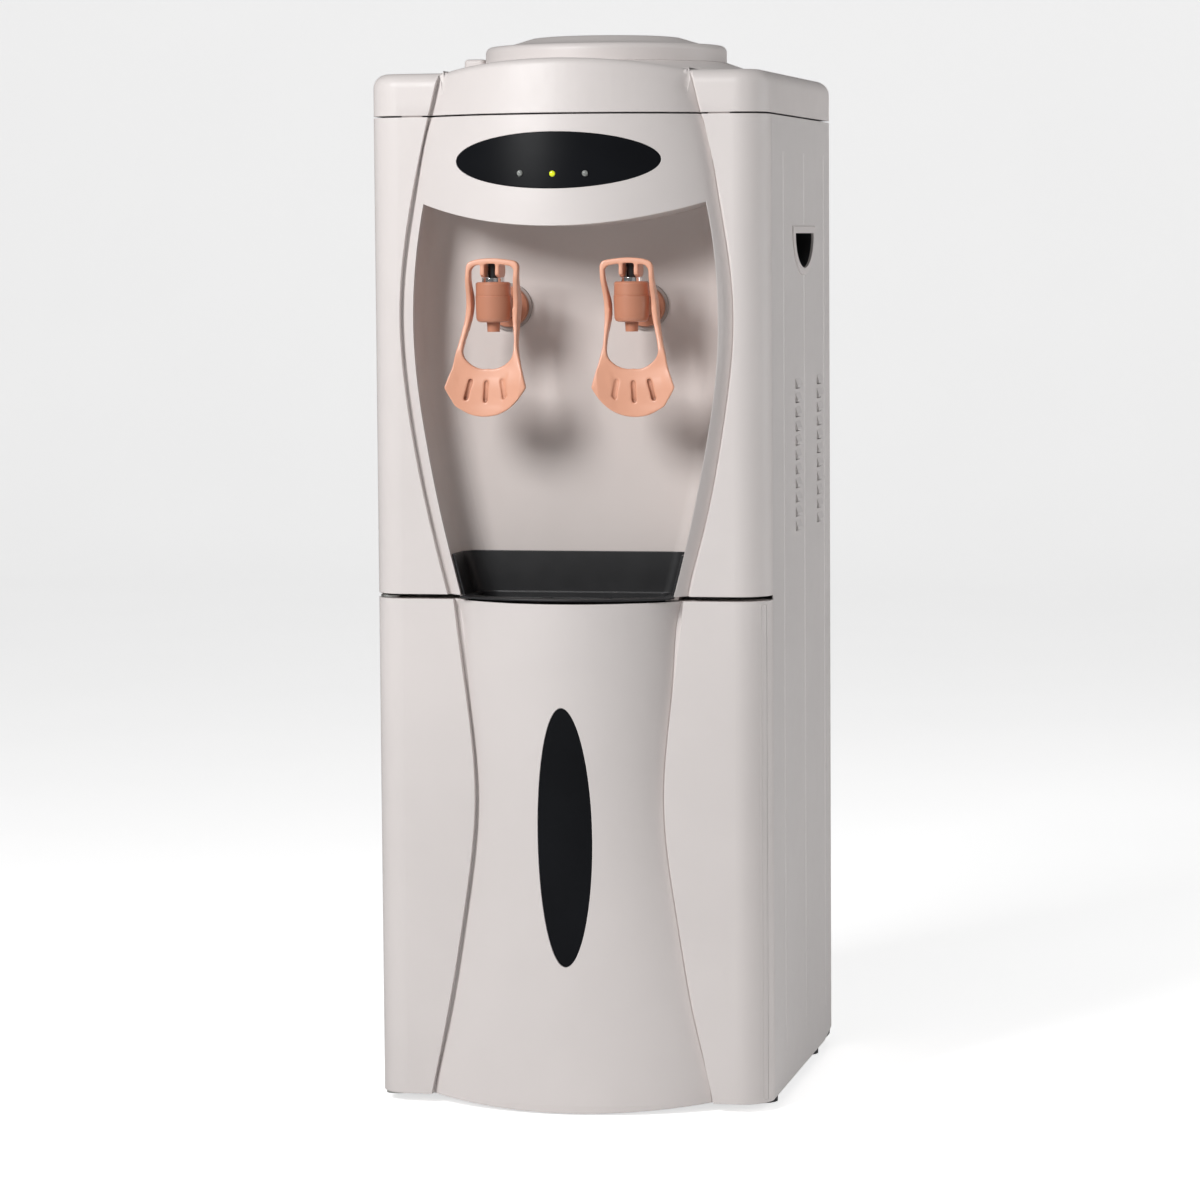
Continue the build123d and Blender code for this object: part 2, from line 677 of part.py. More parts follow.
# ---- Hinge brackets: a plate with a riveted pin above and below the door --------------
BRACKET_SHEET = 2
BRACKET_WIDTH = 18
BRACKET_LENGTH = 36
BRACKET_LOW_Z = FLOOR_GAP - FIT_GAP - BRACKET_SHEET
BRACKET_HIGH_Z = DOOR_TOP + FIT_GAP
with BuildPart() as hinge_brackets:
    for low, pin_low in (
        (BRACKET_LOW_Z, BRACKET_LOW_Z + BRACKET_SHEET),
        (BRACKET_HIGH_Z, BRACKET_HIGH_Z - HINGE_PIN_LENGTH),
    ):
        with BuildSketch(Plane.XY.offset(low)):
            with Locations((HINGE_X + 1, depth(HINGE_DEPTH + BRACKET_LENGTH / 2 - BRACKET_WIDTH / 2))):
                RectangleRounded(BRACKET_WIDTH, BRACKET_LENGTH, 7)
        extrude(amount=BRACKET_SHEET)
        with BuildSketch(Plane.XY.offset(pin_low)):
            with Locations(HINGE):
                Circle(HINGE_PIN_RADIUS)
        extrude(amount=HINGE_PIN_LENGTH)

# ======================================================================================
# Steel casing, base and cabinet
# ======================================================================================
PANEL_X = BODY_WIDTH / 2
PANEL_FRONT = SIDE_SEAM + JOINT_GAP
RETURN_WIDTH = 14       # turned-in edges of the side panels
FOOT_CHAMFER = (40, 6)  # cut away at the lower rear corner of each side
GRIP_DEPTH = 194
GRIP_TOP_Z = 746
GRIP_HALF = 58
GRIP_HEIGHT = 43
GRIP_RIM = 9
GRIP_POCKET = 24
GRIP_PROUD = 1.6
LOUVRE_COUNT = 11
LOUVRE_PITCH = 12.3
LOUVRE_MIDDLE_Z = 549
LOUVRE_DEPTHS = (162, 279)
LOUVRE_WIDTH = 24
LOUVRE_HEIGHT = 8
LOUVRE_RISE = 2
BEAD_DEPTHS = (90, 198, 308)
BEAD_WIDTH = 5
BEAD_RISE = 0.7
BACK_SHEET_FACE = BODY_DEPTH - SHEET
SCREW_HEAD_RADIUS = 4


def grip_block(x, low_x, half, height, drop):
    """A block between two widths: flat along the top and half an ellipse below."""
    centre = depth(GRIP_DEPTH)
    top = GRIP_TOP_Z - drop
    with BuildPart() as block:
        with BuildSketch(Plane.YZ.offset(low_x)):
            with BuildLine():
                EllipticalCenterArc((centre, top), half, height, start_angle=180, arc_size=180)
                Line((centre - half, top), (centre + half, top))
            make_face()
        extrude(amount=x - low_x)
    return block.part


def louvre_points():
    rows = [(i - (LOUVRE_COUNT - 1) / 2) * LOUVRE_PITCH for i in range(LOUVRE_COUNT)]
    return [(depth(d), LOUVRE_MIDDLE_Z + z) for d in LOUVRE_DEPTHS for z in rows]


with BuildPart() as right_side_panel:
    with BuildSketch(Plane.XY.offset(FLOOR_GAP)):
        middle = depth((PANEL_FRONT + BODY_DEPTH) / 2)
        length = BODY_DEPTH - PANEL_FRONT
        with Locations((PANEL_X - RETURN_WIDTH / 2, middle)):
            Rectangle(RETURN_WIDTH, length)
        with Locations((PANEL_X - SHEET - RETURN_WIDTH / 2, middle)):
            Rectangle(RETURN_WIDTH, length - 2 * SHEET, mode=Mode.SUBTRACT)
    extrude(amount=PANEL_HEAD - FLOOR_GAP)
    # pressed beads and louvre hoods on the outer face
    for bead in BEAD_DEPTHS:
        with BuildSketch(Plane.XY.offset(FLOOR_GAP + 30)):
            with BuildLine():
                ThreePointArc(
                    (PANEL_X, depth(bead - BEAD_WIDTH / 2)),
                    (PANEL_X + BEAD_RISE, depth(bead)),
                    (PANEL_X, depth(bead + BEAD_WIDTH / 2)),
                )
                Line((PANEL_X, depth(bead + BEAD_WIDTH / 2)), (PANEL_X, depth(bead - BEAD_WIDTH / 2)))
            make_face()
        extrude(amount=PANEL_HEAD - FLOOR_GAP - 60)
    for y, z in louvre_points():
        with BuildSketch(Plane.XZ.offset(-y - LOUVRE_WIDTH / 2)):
            with BuildLine():
                Polyline(
                    (PANEL_X - SHEET, z + LOUVRE_HEIGHT / 2),
                    (PANEL_X, z + LOUVRE_HEIGHT / 2),
                    (PANEL_X + LOUVRE_RISE, z - LOUVRE_HEIGHT / 4),
                    (PANEL_X + LOUVRE_RISE, z - LOUVRE_HEIGHT / 2),
                    (PANEL_X - SHEET, z - LOUVRE_HEIGHT / 2),
                    close=True,
                )
            make_face()
        extrude(amount=LOUVRE_WIDTH)
        with BuildSketch(Plane.XZ.offset(-y - LOUVRE_WIDTH / 2 + 1)):
            with BuildLine():
                Polyline(
                    (PANEL_X - SHEET - 1, z + LOUVRE_HEIGHT / 2 - 1),
                    (PANEL_X - 0.5, z + LOUVRE_HEIGHT / 2 - 1),
                    (PANEL_X + LOUVRE_RISE - 0.8, z - LOUVRE_HEIGHT / 4 - 0.5),
                    (PANEL_X + LOUVRE_RISE - 0.8, z - LOUVRE_HEIGHT / 2 - 1),
                    (PANEL_X - SHEET - 1, z - LOUVRE_HEIGHT / 2 - 1),
                    close=True,
                )
            make_face()
        extrude(amount=LOUVRE_WIDTH - 2, mode=Mode.SUBTRACT)
    # clear space round the grip, and the notch for the upper hinge bracket
    add(grip_block(PANEL_X + BEAD_RISE + 1, PANEL_X, GRIP_HALF + 1, GRIP_HEIGHT + 1, -1), mode=Mode.SUBTRACT)
    add(
        slab(
            PANEL_X - RETURN_WIDTH - 1,
            PANEL_X - SHEET,
            PANEL_FRONT - 1,
            PANEL_FRONT + SHEET + 1,
            BRACKET_HIGH_Z - 1,
            BRACKET_HIGH_Z + BRACKET_SHEET + 1,
        ),
        mode=Mode.SUBTRACT,
    )
    # hole for the grip, and the clipped lower rear corner
    add(
        grip_block(PANEL_X + 3, PANEL_X - SHEET - 1, GRIP_HALF - GRIP_RIM / 2, GRIP_HEIGHT - GRIP_RIM, GRIP_RIM / 2),
        mode=Mode.SUBTRACT,
    )
    with BuildSketch(Plane.YZ.offset(PANEL_X - RETURN_WIDTH - 1)):
        with BuildLine():
            Polyline(
                (BACK_FACE + 1, FLOOR_GAP - 1),
                (BACK_FACE + 1, FLOOR_GAP + FOOT_CHAMFER[1]),
                (BACK_FACE, FLOOR_GAP + FOOT_CHAMFER[1]),
                (BACK_FACE - FOOT_CHAMFER[0], FLOOR_GAP),
                (BACK_FACE - FOOT_CHAMFER[0], FLOOR_GAP - 1),
                close=True,
            )
        make_face()
    extrude(amount=RETURN_WIDTH + 5, mode=Mode.SUBTRACT)

with BuildPart() as right_grip:
    add(grip_block(PANEL_X + GRIP_PROUD, PANEL_X, GRIP_HALF, GRIP_HEIGHT, 0))
    chamfer(right_grip.faces().sort_by(Axis.X)[-1].edges(), 1)
    collar_half = GRIP_HALF - GRIP_RIM / 2 - FIT_GAP
    add(grip_block(PANEL_X, PANEL_X - GRIP_POCKET, collar_half, GRIP_HEIGHT - GRIP_RIM - FIT_GAP, GRIP_RIM / 2 + FIT_GAP))
    add(
        grip_block(
            PANEL_X + GRIP_PROUD + 1, PANEL_X - GRIP_POCKET + 2, GRIP_HALF - GRIP_RIM, GRIP_HEIGHT - GRIP_RIM - 4, GRIP_RIM / 2 + 2
        ),
        mode=Mode.SUBTRACT,
    )

with BuildPart() as left_side_panel:
    add(mirrored(right_side_panel.part))

with BuildPart() as left_grip:
    add(mirrored(right_grip.part))

# ---- Base: a moulded floor on a skirt, stiffened by ribs, with four feet --------------
BASE_TOP_Z = 24
BASE_WALL = 3
BASE_HALF = PANEL_X - SHEET - 0.2
FOOT_RADIUS = 14
FOOT_DEPTHS = (62, 282)
FOOT_X = BASE_HALF - FOOT_RADIUS - 1.8
with BuildPart() as base_pan:
    base_back = BACK_SHEET_FACE - SHEET
    with BuildSketch(Plane.XY.offset(FLOOR_GAP - FIT_GAP)):
        with Locations((0, depth((PANEL_FRONT + SHEET + base_back) / 2))):
            Rectangle(2 * BASE_HALF, base_back - PANEL_FRONT - SHEET)
    extrude(amount=BASE_TOP_Z - FLOOR_GAP + FIT_GAP)
    with BuildSketch(Plane.XY.offset(FLOOR_GAP - FIT_GAP)):
        with Locations((0, depth((PANEL_FRONT + SHEET + base_back) / 2))):
            with GridLocations(
                (2 * BASE_HALF - BASE_WALL) / 3, (base_back - PANEL_FRONT - SHEET - BASE_WALL) / 3, 3, 3
            ):
                Rectangle(
                    (2 * BASE_HALF - BASE_WALL) / 3 - BASE_WALL,
                    (base_back - PANEL_FRONT - SHEET - BASE_WALL) / 3 - BASE_WALL,
                )
    extrude(amount=BASE_TOP_Z - FLOOR_GAP + FIT_GAP - BASE_WALL, mode=Mode.SUBTRACT)
    # sockets for the spigots of the feet
    for d in FOOT_DEPTHS:
        with BuildSketch(Plane.XY.offset(FLOOR_GAP - FIT_GAP)):
            with Locations((0, depth(d))):
                with GridLocations(2 * FOOT_X, 0, 2, 1):
                    Circle(FOOT_RADIUS / 2)
        extrude(amount=BASE_TOP_Z - FLOOR_GAP + FIT_GAP - BASE_WALL, mode=Mode.SUBTRACT)

with BuildPart() as feet:
    for d in FOOT_DEPTHS:
        with BuildSketch(Plane.XY):
            with Locations((0, depth(d))):
                with GridLocations(2 * FOOT_X, 0, 2, 1):
                    Circle(FOOT_RADIUS)
        extrude(amount=FLOOR_GAP - FIT_GAP)
        with BuildSketch(Plane.XY.offset(FLOOR_GAP - FIT_GAP)):
            with Locations((0, depth(d))):
                with GridLocations(2 * FOOT_X, 0, 2, 1):
                    Circle(FOOT_RADIUS / 2)
        extrude(amount=BASE_TOP_Z - FLOOR_GAP + FIT_GAP - BASE_WALL)

# ---- Mid deck: steel shelf between cabinet and machinery ------------------------------
DECK_SHEET = 2
DECK_FLANGE = 12
DECK_BACK_DEPTH = BACK_SHEET_FACE - SHEET
with BuildPart() as mid_deck:
    add(slab(-BASE_HALF, BASE_HALF, PANEL_FRONT + SHEET, DECK_BACK_DEPTH, DECK_LEVEL - DECK_SHEET, DECK_LEVEL))
    for d in (PANEL_FRONT + SHEET, DECK_BACK_DEPTH - DECK_SHEET):
        add(slab(-BASE_HALF, BASE_HALF, d, d + DECK_SHEET, DECK_LEVEL - DECK_FLANGE, DECK_LEVEL))
    well_half = bow_half(LEDGE_FOOT) - RECESS_LIP + WALL + 1
    add(
        slab(-well_half, well_half, 0, RECESS_DEPTH + WALL + 0.5, DECK_LEVEL - DECK_FLANGE - 1, DECK_LEVEL + 1),
        mode=Mode.SUBTRACT,
    )

# ---- Cabinet liner: a box open at the front, with a flange that frames the doorway ----
LINER_WALL = 2
LINER_CORNER = 10
LINER_X = BODY_WIDTH / 2 - 13
LINER_FRONT = SIDE_SEAM + JOINT_GAP
LINER_BACK = 322
LINER_TOP_Z = 402
with BuildPart() as cabinet_room:
    add(
        slab(
            -LINER_X + LINER_WALL,
            LINER_X - LINER_WALL,
            LINER_FRONT - 1,
            LINER_BACK - LINER_WALL,
            BASE_TOP_Z + LINER_WALL,
            LINER_TOP_Z - LINER_WALL,
        )
    )
    fillet(cabinet_room.edges().filter_by(Axis.Y), LINER_CORNER - LINER_WALL)

with BuildPart() as cabinet_liner:
    add(slab(-LINER_X, LINER_X, LINER_FRONT + SHEET, LINER_BACK, BASE_TOP_Z, LINER_TOP_Z))
    fillet(cabinet_liner.edges().filter_by(Axis.Y), LINER_CORNER)
    flange_front = LINER_FRONT + SHEET
    add(
        slab(
            -BASE_HALF,
            BASE_HALF,
            flange_front,
            flange_front + LINER_WALL,
            BASE_TOP_Z,
            DECK_LEVEL - DECK_FLANGE,
        )
    )
    add(cabinet_room.part, mode=Mode.SUBTRACT)
    # room for the tray's basin
    add(
        slab(-well, well, LINER_FRONT, flange_front + LINER_WALL + 1, SCOOP_FOOT_Z, DECK_LEVEL),
        mode=Mode.SUBTRACT,
    )

# ---- Back panel: sheet between the side returns, with grille slots and cut-outs -------
FAN_Z = 775
FAN_HALF = 46
REAR_BORE_RADIUS = 42
DRAIN_X = HOT_X
DRAIN_Z = 466
DRAIN_RADIUS = 7
DRAIN_BORE = 4.5
GLAND_X = BODY_WIDTH / 2 - 65
GLAND_Z = 470
GLAND_RADIUS = 6
SWITCH_X = GLAND_X
SWITCH_Z = 640
SWITCH_PLATE = (34, 52)
SWITCH_HOLE = (28, 46)
ROCKER_PITCH = 22
SCREW_X = PANEL_X - RETURN_WIDTH / 2 - SHEET
SCREW_HEIGHTS = (40, 240, 420, 620, 815)
with BuildPart() as back_panel:
    add(
        slab(
            -PANEL_X + SHEET + 0.2,
            PANEL_X - SHEET - 0.2,
            BACK_SHEET_FACE - SHEET,
            BACK_SHEET_FACE,
            FLOOR_GAP + 2,
            PANEL_HEAD,
        )
    )
    with BuildSketch(facing(BACK_SHEET_FACE)):
        # slotted grille over the fan, cut into rows
        with Locations((0, FAN_Z)):
            with GridLocations(0, 10, 1, 8):
                SlotOverall(76, 5)
        # intake slots lower down
        with Locations((0, 560)):
            with GridLocations(0, 14, 1, 5):
                SlotOverall(120, 5)
        with Locations((DRAIN_X, DRAIN_Z), (GLAND_X, GLAND_Z)):
            Circle(DRAIN_RADIUS + 0.3)
        with Locations((SWITCH_X, SWITCH_Z)):
            Rectangle(SWITCH_HOLE[0], SWITCH_HOLE[1])
    extrude(amount=2 * SHEET, mode=Mode.SUBTRACT)

with BuildPart() as screws:
    for z in SCREW_HEIGHTS:
        with BuildSketch(facing(BODY_DEPTH + 2)):
            with Locations((-SCREW_X, z), (SCREW_X, z)):
                Circle(SCREW_HEAD_RADIUS)
        extrude(amount=2)

with BuildPart() as cord_gland:
    with BuildSketch(facing(BODY_DEPTH + REAR_REACH)):
        with Locations((GLAND_X, GLAND_Z)):
            Circle(GLAND_RADIUS + 3)
    extrude(amount=REAR_REACH + SHEET, taper=-6)
    with BuildSketch(facing(BACK_SHEET_FACE)):
        with Locations((GLAND_X, GLAND_Z)):
            Circle(DRAIN_RADIUS)
    extrude(amount=8)
    with BuildSketch(facing(BODY_DEPTH + REAR_REACH)):
        with Locations((GLAND_X, GLAND_Z)):
            Circle(3.5)
    extrude(amount=REAR_REACH + 20, mode=Mode.SUBTRACT)

# ---- Rear switches: a framed housing with two rockers ---------------------------------
ROCKER_WIDTH = 20
ROCKER_HEIGHT = 15
ROCKER_TILT = 8
ROCKER_PIN = 1.5
ROCKER_AXIS_DEPTH = BODY_DEPTH - 2
with BuildPart() as switch_housing:
    with BuildSketch(facing(BACK_SHEET_FACE + 2)):
        with Locations((SWITCH_X, SWITCH_Z)):
            RectangleRounded(SWITCH_PLATE[0], SWITCH_PLATE[1], 3)
    extrude(amount=2)
    with BuildSketch(facing(BACK_SHEET_FACE)):
        with Locations((SWITCH_X, SWITCH_Z)):
            Rectangle(SWITCH_HOLE[0] - 0.6, SWITCH_HOLE[1] - 0.6)
    extrude(amount=16)
    with BuildSketch(facing(BACK_SHEET_FACE + 3)):
        with Locations((SWITCH_X, SWITCH_Z)):
            with GridLocations(0, ROCKER_PITCH, 1, 2):
                Rectangle(ROCKER_WIDTH + 1, ROCKER_HEIGHT + 4)
    extrude(amount=14, mode=Mode.SUBTRACT)
    with BuildSketch(Plane.YZ.offset(SWITCH_X - SWITCH_HOLE[0] / 2)):
        with Locations((depth(ROCKER_AXIS_DEPTH), SWITCH_Z)):
            with GridLocations(0, ROCKER_PITCH, 1, 2):
                Circle(ROCKER_PIN + RUNNING_GAP)
    extrude(amount=SWITCH_HOLE[0], mode=Mode.SUBTRACT)


def make_rocker(z):
    """A rocker tilted about its cross pin, with a ridge where the two faces meet."""
    with BuildPart() as rocker:
        with BuildSketch(Plane.YZ.offset(SWITCH_X - ROCKER_WIDTH / 2)):
            with BuildLine():
                face = depth(ROCKER_AXIS_DEPTH + 4)
                Polyline(
                    (face, z),
                    (face + 1.2, z + ROCKER_HEIGHT / 2),
                    (face - 4, z + ROCKER_HEIGHT / 2),
                    (face - 9, z),
                    (face - 4, z - ROCKER_HEIGHT / 2),
                    (face + 1.2, z - ROCKER_HEIGHT / 2),
                    close=True,
                )
            make_face()
        extrude(amount=ROCKER_WIDTH)
        with BuildSketch(Plane.YZ.offset(SWITCH_X - ROCKER_WIDTH / 2 - 2.5)):
            with Locations((depth(ROCKER_AXIS_DEPTH), z)):
                Circle(ROCKER_PIN)
        extrude(amount=ROCKER_WIDTH + 5)
    return rocker.part.rotate(Axis((SWITCH_X, depth(ROCKER_AXIS_DEPTH), z), (1, 0, 0)), ROCKER_TILT)


with BuildPart() as heater_switch:
    add(make_rocker(SWITCH_Z + ROCKER_PITCH / 2))

with BuildPart() as cooler_switch:
    add(make_rocker(SWITCH_Z - ROCKER_PITCH / 2))

# ======================================================================================
# Taps: one for each side of the recess
# ======================================================================================
TAP_BACK = RECESS_DEPTH - WALL_SEAL     # rear face of the wall flange
FLANGE_THICKNESS = 4
EAR_INSIDE = STEM_RADIUS + 0.4
EAR_THICKNESS = 3.6
EAR_RADIUS = 5.5
EAR_BACK = 9                            # rounded rear end of each ear, behind the stem
HEEL_FORWARD = 7                        # the ears' heels bear ahead of the pivot
HEEL_GAP = 0.2
LEVER_FRONT = -31                       # front of the paddle at its tips
GROOVE_LENGTH = 18.5
GROOVE_BORE = 3.6
GROOVE_SINK = 2.4


def make_tap_body(x):
    """Valve body with its spout, horizontal neck, wall flange and threaded shank."""
    with BuildPart() as body:
        with BuildSketch(Plane.XZ.offset(-depth(TAP_DEPTH))):
            with BuildLine():
                Polyline(
                    (x, SPOUT_FOOT_Z),
                    (x + SPOUT_RADIUS - 0.5, SPOUT_FOOT_Z),
                    (x + SPOUT_RADIUS, TAP_FOOT_Z),
                    (x + TAP_RADIUS - 4, TAP_FOOT_Z),
                )
                Polyline(
                    (x + TAP_RADIUS - 4, TAP_FOOT_Z),
                    (x + TAP_RADIUS - 1.6, TAP_FOOT_Z + 1),
                    (x + TAP_RADIUS - 0.6, TAP_FOOT_Z + 3.5),
                    (x + TAP_RADIUS, BONNET_SEAM_Z),
                    (x, BONNET_SEAM_Z),
                    (x, SPOUT_FOOT_Z),
                )
            make_face()
        revolve(axis=Axis((x, depth(TAP_DEPTH), 0), (0, 0, 1)))
        with BuildSketch(facing(TAP_BACK)):
            with Locations((x, NECK_Z)):
                Circle(NECK_RADIUS)
        extrude(amount=TAP_BACK - TAP_DEPTH)
        with BuildSketch(facing(TAP_BACK)):
            with Locations((x, NECK_Z)):
                Circle(FLANGE_RADIUS)
        extrude(amount=FLANGE_THICKNESS, taper=12)
        with BuildSketch(facing(SHANK_END)):
            with Locations((x, NECK_Z)):
                Circle(SHANK_RADIUS)
        extrude(amount=SHANK_END - TAP_BACK)
        # water way: through the shank and neck, down the spout
        with BuildSketch(facing(SHANK_END)):
            with Locations((x, NECK_Z)):
                Circle(HOSE_BORE)
        extrude(amount=SHANK_END - TAP_DEPTH, mode=Mode.SUBTRACT)
        with BuildSketch(Plane.XY.offset(SPOUT_FOOT_Z)):
            with Locations((x, depth(TAP_DEPTH))):
                Circle(SPOUT_BORE)
        extrude(amount=NECK_Z - SPOUT_FOOT_Z + 2, mode=Mode.SUBTRACT)
        with BuildSketch(Plane.XY.offset(NECK_Z + 2)):
            with Locations((x, depth(TAP_DEPTH))):
                Circle(STEM_RADIUS + 3)
        extrude(amount=BONNET_SEAM_Z - NECK_Z, mode=Mode.SUBTRACT)
    return body.part


def make_bonnet(x):
    """Screw cap of the valve, bored for the stem."""
    with BuildPart() as bonnet:
        with BuildSketch(Plane.XY.offset(BONNET_SEAM_Z)):
            with Locations((x, depth(TAP_DEPTH))):
                Circle(TAP_RADIUS - 0.4)
                Circle(STEM_RADIUS + RUNNING_GAP, mode=Mode.SUBTRACT)
        extrude(amount=BONNET_TOP_Z - BONNET_SEAM_Z)
        chamfer(bonnet.edges().group_by(Axis.Z)[-1].sort_by(SortBy.RADIUS)[-1], 1.2)
    return bonnet.part


def make_stem(x):
    """Valve stem: a rod whose flattened head takes the lever's pegs, and the valve disc."""
    with BuildPart() as stem:
        with BuildSketch(Plane.XY.offset(NECK_Z + 5)):
            with Locations((x, depth(TAP_DEPTH))):
                Circle(STEM_RADIUS)
        extrude(amount=STEM_TOP_Z - NECK_Z - 5)
        chamfer(stem.faces().sort_by(Axis.Z)[-1].edges(), 1)
        with BuildSketch(Plane.XY.offset(NECK_Z + 2.2)):
            with Locations((x, depth(TAP_DEPTH))):
                Circle(STEM_RADIUS + 1.5)
        extrude(amount=2.8)
        with BuildSketch(Plane.YZ.offset(x - STEM_RADIUS - 1)):
            with Locations((depth(TAP_DEPTH), PIVOT_Z)):
                Circle(PIVOT_RADIUS + RUNNING_GAP)
        extrude(amount=2 * STEM_RADIUS + 2, mode=Mode.SUBTRACT)
    return stem.part


def lever_outline():
    """The lever from the front, about its pivot: a stirrup that widens into a paddle."""
    head = LEVER_HEAD_WIDTH / 2
    tip = LEVER_TIP_WIDTH / 2
    top = LEVER_TOP_Z - PIVOT_Z
    neck = NECK_Z - 6 - PIVOT_Z
    waist = LEVER_WAIST_Z - PIVOT_Z
    tip_z = LEVER_TIP_Z - PIVOT_Z
    foot = LEVER_FOOT_Z - PIVOT_Z
    inner = head - LEVER_BAR
    window = inner + 1.6
    sill = tip_z + 15.5
    with BuildSketch() as outline:
        with BuildLine() as edge_line:
            ThreePointArc((-head + 6, top - 2), (0, top), (head - 6, top - 2))
            JernArc((head - 6, top - 2), (1, -0.15), 6, -81)
            corner = edge_line.line.vertices().sort_by(Axis.X)[-1]
            Spline((corner.X, corner.Y), (head - 1, neck), (head, waist), (tip, tip_z), tangents=[(0, -1), (0.3, -1)])
            Spline(
                (tip, tip_z),
                (tip * 0.69, tip_z * 0.87 + foot * 0.13 - 12),
                (0, foot),
                tangents=[(-0.5, -1), (-1, 0)],
            )
            mirror(about=Plane.YZ)
        make_face()
        # the window that the valve stands in
        with BuildLine():
            ThreePointArc((-inner + 3, top - LEVER_BAR - 2), (0, top - LEVER_BAR), (inner - 3, top - LEVER_BAR - 2))
            Line((inner - 3, top - LEVER_BAR - 2), (inner, top - LEVER_BAR - 5))
            Spline((inner, top - LEVER_BAR - 5), (inner - 1, neck), (window, sill + 15), tangents=[(0, -1), (0.1, -1)])
            ThreePointArc((window, sill + 15), (window * 0.72, sill + 4), (0, sill))
            mirror(about=Plane.YZ)
        make_face(mode=Mode.SUBTRACT)
    return outline.sketch


def lever_side():
    """The lever from the side: deep beside the valve, thin at the crossbar and paddle."""
    with BuildSketch() as side:
        with BuildLine():
            Spline(
                (depth(LEVER_FRONT + 6), LEVER_TOP_Z + 1),
                (depth(LEVER_FRONT + 2.5), NECK_Z),
                (depth(LEVER_FRONT), LEVER_TIP_Z),
                (depth(LEVER_FRONT - 2), LEVER_FOOT_Z - 1),
            )
            Line(
                (depth(LEVER_FRONT - 2), LEVER_FOOT_Z - 1),
                (depth(LEVER_FRONT - 2 + LEVER_THICKNESS), LEVER_FOOT_Z - 1),
            )
            Spline(
                (depth(LEVER_FRONT - 2 + LEVER_THICKNESS), LEVER_FOOT_Z - 1),
                (depth(LEVER_FRONT + LEVER_THICKNESS), LEVER_TIP_Z),
                (depth(LEVER_FRONT + LEVER_THICKNESS + 2), LEVER_WAIST_Z - 12),
                (depth(LEVER_FRONT + 2.5 + LEVER_BELLY), NECK_Z),
                (depth(LEVER_FRONT + 6 + LEVER_THICKNESS), LEVER_TOP_Z + 1),
            )
            Line(
                (depth(LEVER_FRONT + 6 + LEVER_THICKNESS), LEVER_TOP_Z + 1),
                (depth(LEVER_FRONT + 6), LEVER_TOP_Z + 1),
            )
        make_face()
    return side.sketch


def make_lever(side):
    """Lever for one side: -1 is the viewer's left. Its paddle leans outwards."""
    x = side * TAP_PITCH / 2
    with BuildPart() as lever:
        front = Plane(
            origin=(x, depth(LEVER_FRONT - 10), PIVOT_Z), x_dir=(1, 0, 0), z_dir=(0, -1, 0)
        ).rotated((0, 0, side * LEVER_SPLAY))
        with BuildSketch(front):
            add(lever_outline())
        extrude(amount=-40)
        with BuildSketch(Plane.YZ.offset(x - LEVER_TIP_WIDTH)):
            add(lever_side())
        extrude(amount=2 * LEVER_TIP_WIDTH, mode=Mode.INTERSECT)
        # three finger grooves that fan out over the paddle
        for angle in (-12, 0, 12):
            with BuildSketch(front):
                with Locations(
                    Location((0, LEVER_TIP_Z - PIVOT_Z + 72)) * Location((0, 0, 0), (0, 0, angle)) * Location((0, -73))
                ):
                    SlotOverall(GROOVE_LENGTH, GROOVE_BORE, rotation=90)
            extrude(amount=-10 - GROOVE_SINK, mode=Mode.SUBTRACT)
        # ears that straddle the stem, with the pivot pin through them
        for ear_x in (x - EAR_INSIDE - EAR_THICKNESS, x + EAR_INSIDE):
            with BuildSketch(Plane.YZ.offset(ear_x)):
                with BuildLine():
                    y = depth(TAP_DEPTH)
                    Polyline(
                        (y + EAR_BACK - 3, PIVOT_Z + EAR_RADIUS),
                        (y - 13, LEVER_TOP_Z - 3),
                        (y - 14, PIVOT_Z - 4.5),
                        (y - HEEL_FORWARD, WASHER_TOP_Z + HEEL_GAP),
                        (y + EAR_BACK - 3, WASHER_TOP_Z + HEEL_GAP),
                    )
                    ThreePointArc(
                        (y + EAR_BACK - 3, WASHER_TOP_Z + HEEL_GAP),
                        (y + EAR_BACK + EAR_RADIUS - 3, PIVOT_Z),
                        (y + EAR_BACK - 3, PIVOT_Z + EAR_RADIUS),
                    )
                make_face()
            extrude(amount=EAR_THICKNESS)
        with BuildSketch(Plane.YZ.offset(x - EAR_INSIDE - EAR_THICKNESS)):
            with Locations((depth(TAP_DEPTH), PIVOT_Z)):
                Circle(PIVOT_RADIUS)
        extrude(amount=2 * (EAR_INSIDE + EAR_THICKNESS))
    return lever.part


with BuildPart() as left_tap_body:
    add(make_tap_body(-TAP_PITCH / 2))

with BuildPart() as right_tap_body:
    add(make_tap_body(TAP_PITCH / 2))

with BuildPart() as left_tap_bonnet:
    add(make_bonnet(-TAP_PITCH / 2))

with BuildPart() as right_tap_bonnet:
    add(make_bonnet(TAP_PITCH / 2))

with BuildPart() as left_stem:
    add(make_stem(-TAP_PITCH / 2))

with BuildPart() as right_stem:
    add(make_stem(TAP_PITCH / 2))

with BuildPart() as left_lever:
    add(make_lever(-1))

with BuildPart() as right_lever:
    add(make_lever(1))

with BuildPart() as tap_washers:
    with BuildSketch(Plane.XY.offset(BONNET_TOP_Z)):
        with Locations((0, depth(TAP_DEPTH))):
            with GridLocations(TAP_PITCH, 0, 2, 1):
                Circle(WASHER_RADIUS)
                Circle(STEM_RADIUS + RUNNING_GAP, mode=Mode.SUBTRACT)
    extrude(amount=WASHER_TOP_Z - BONNET_TOP_Z)

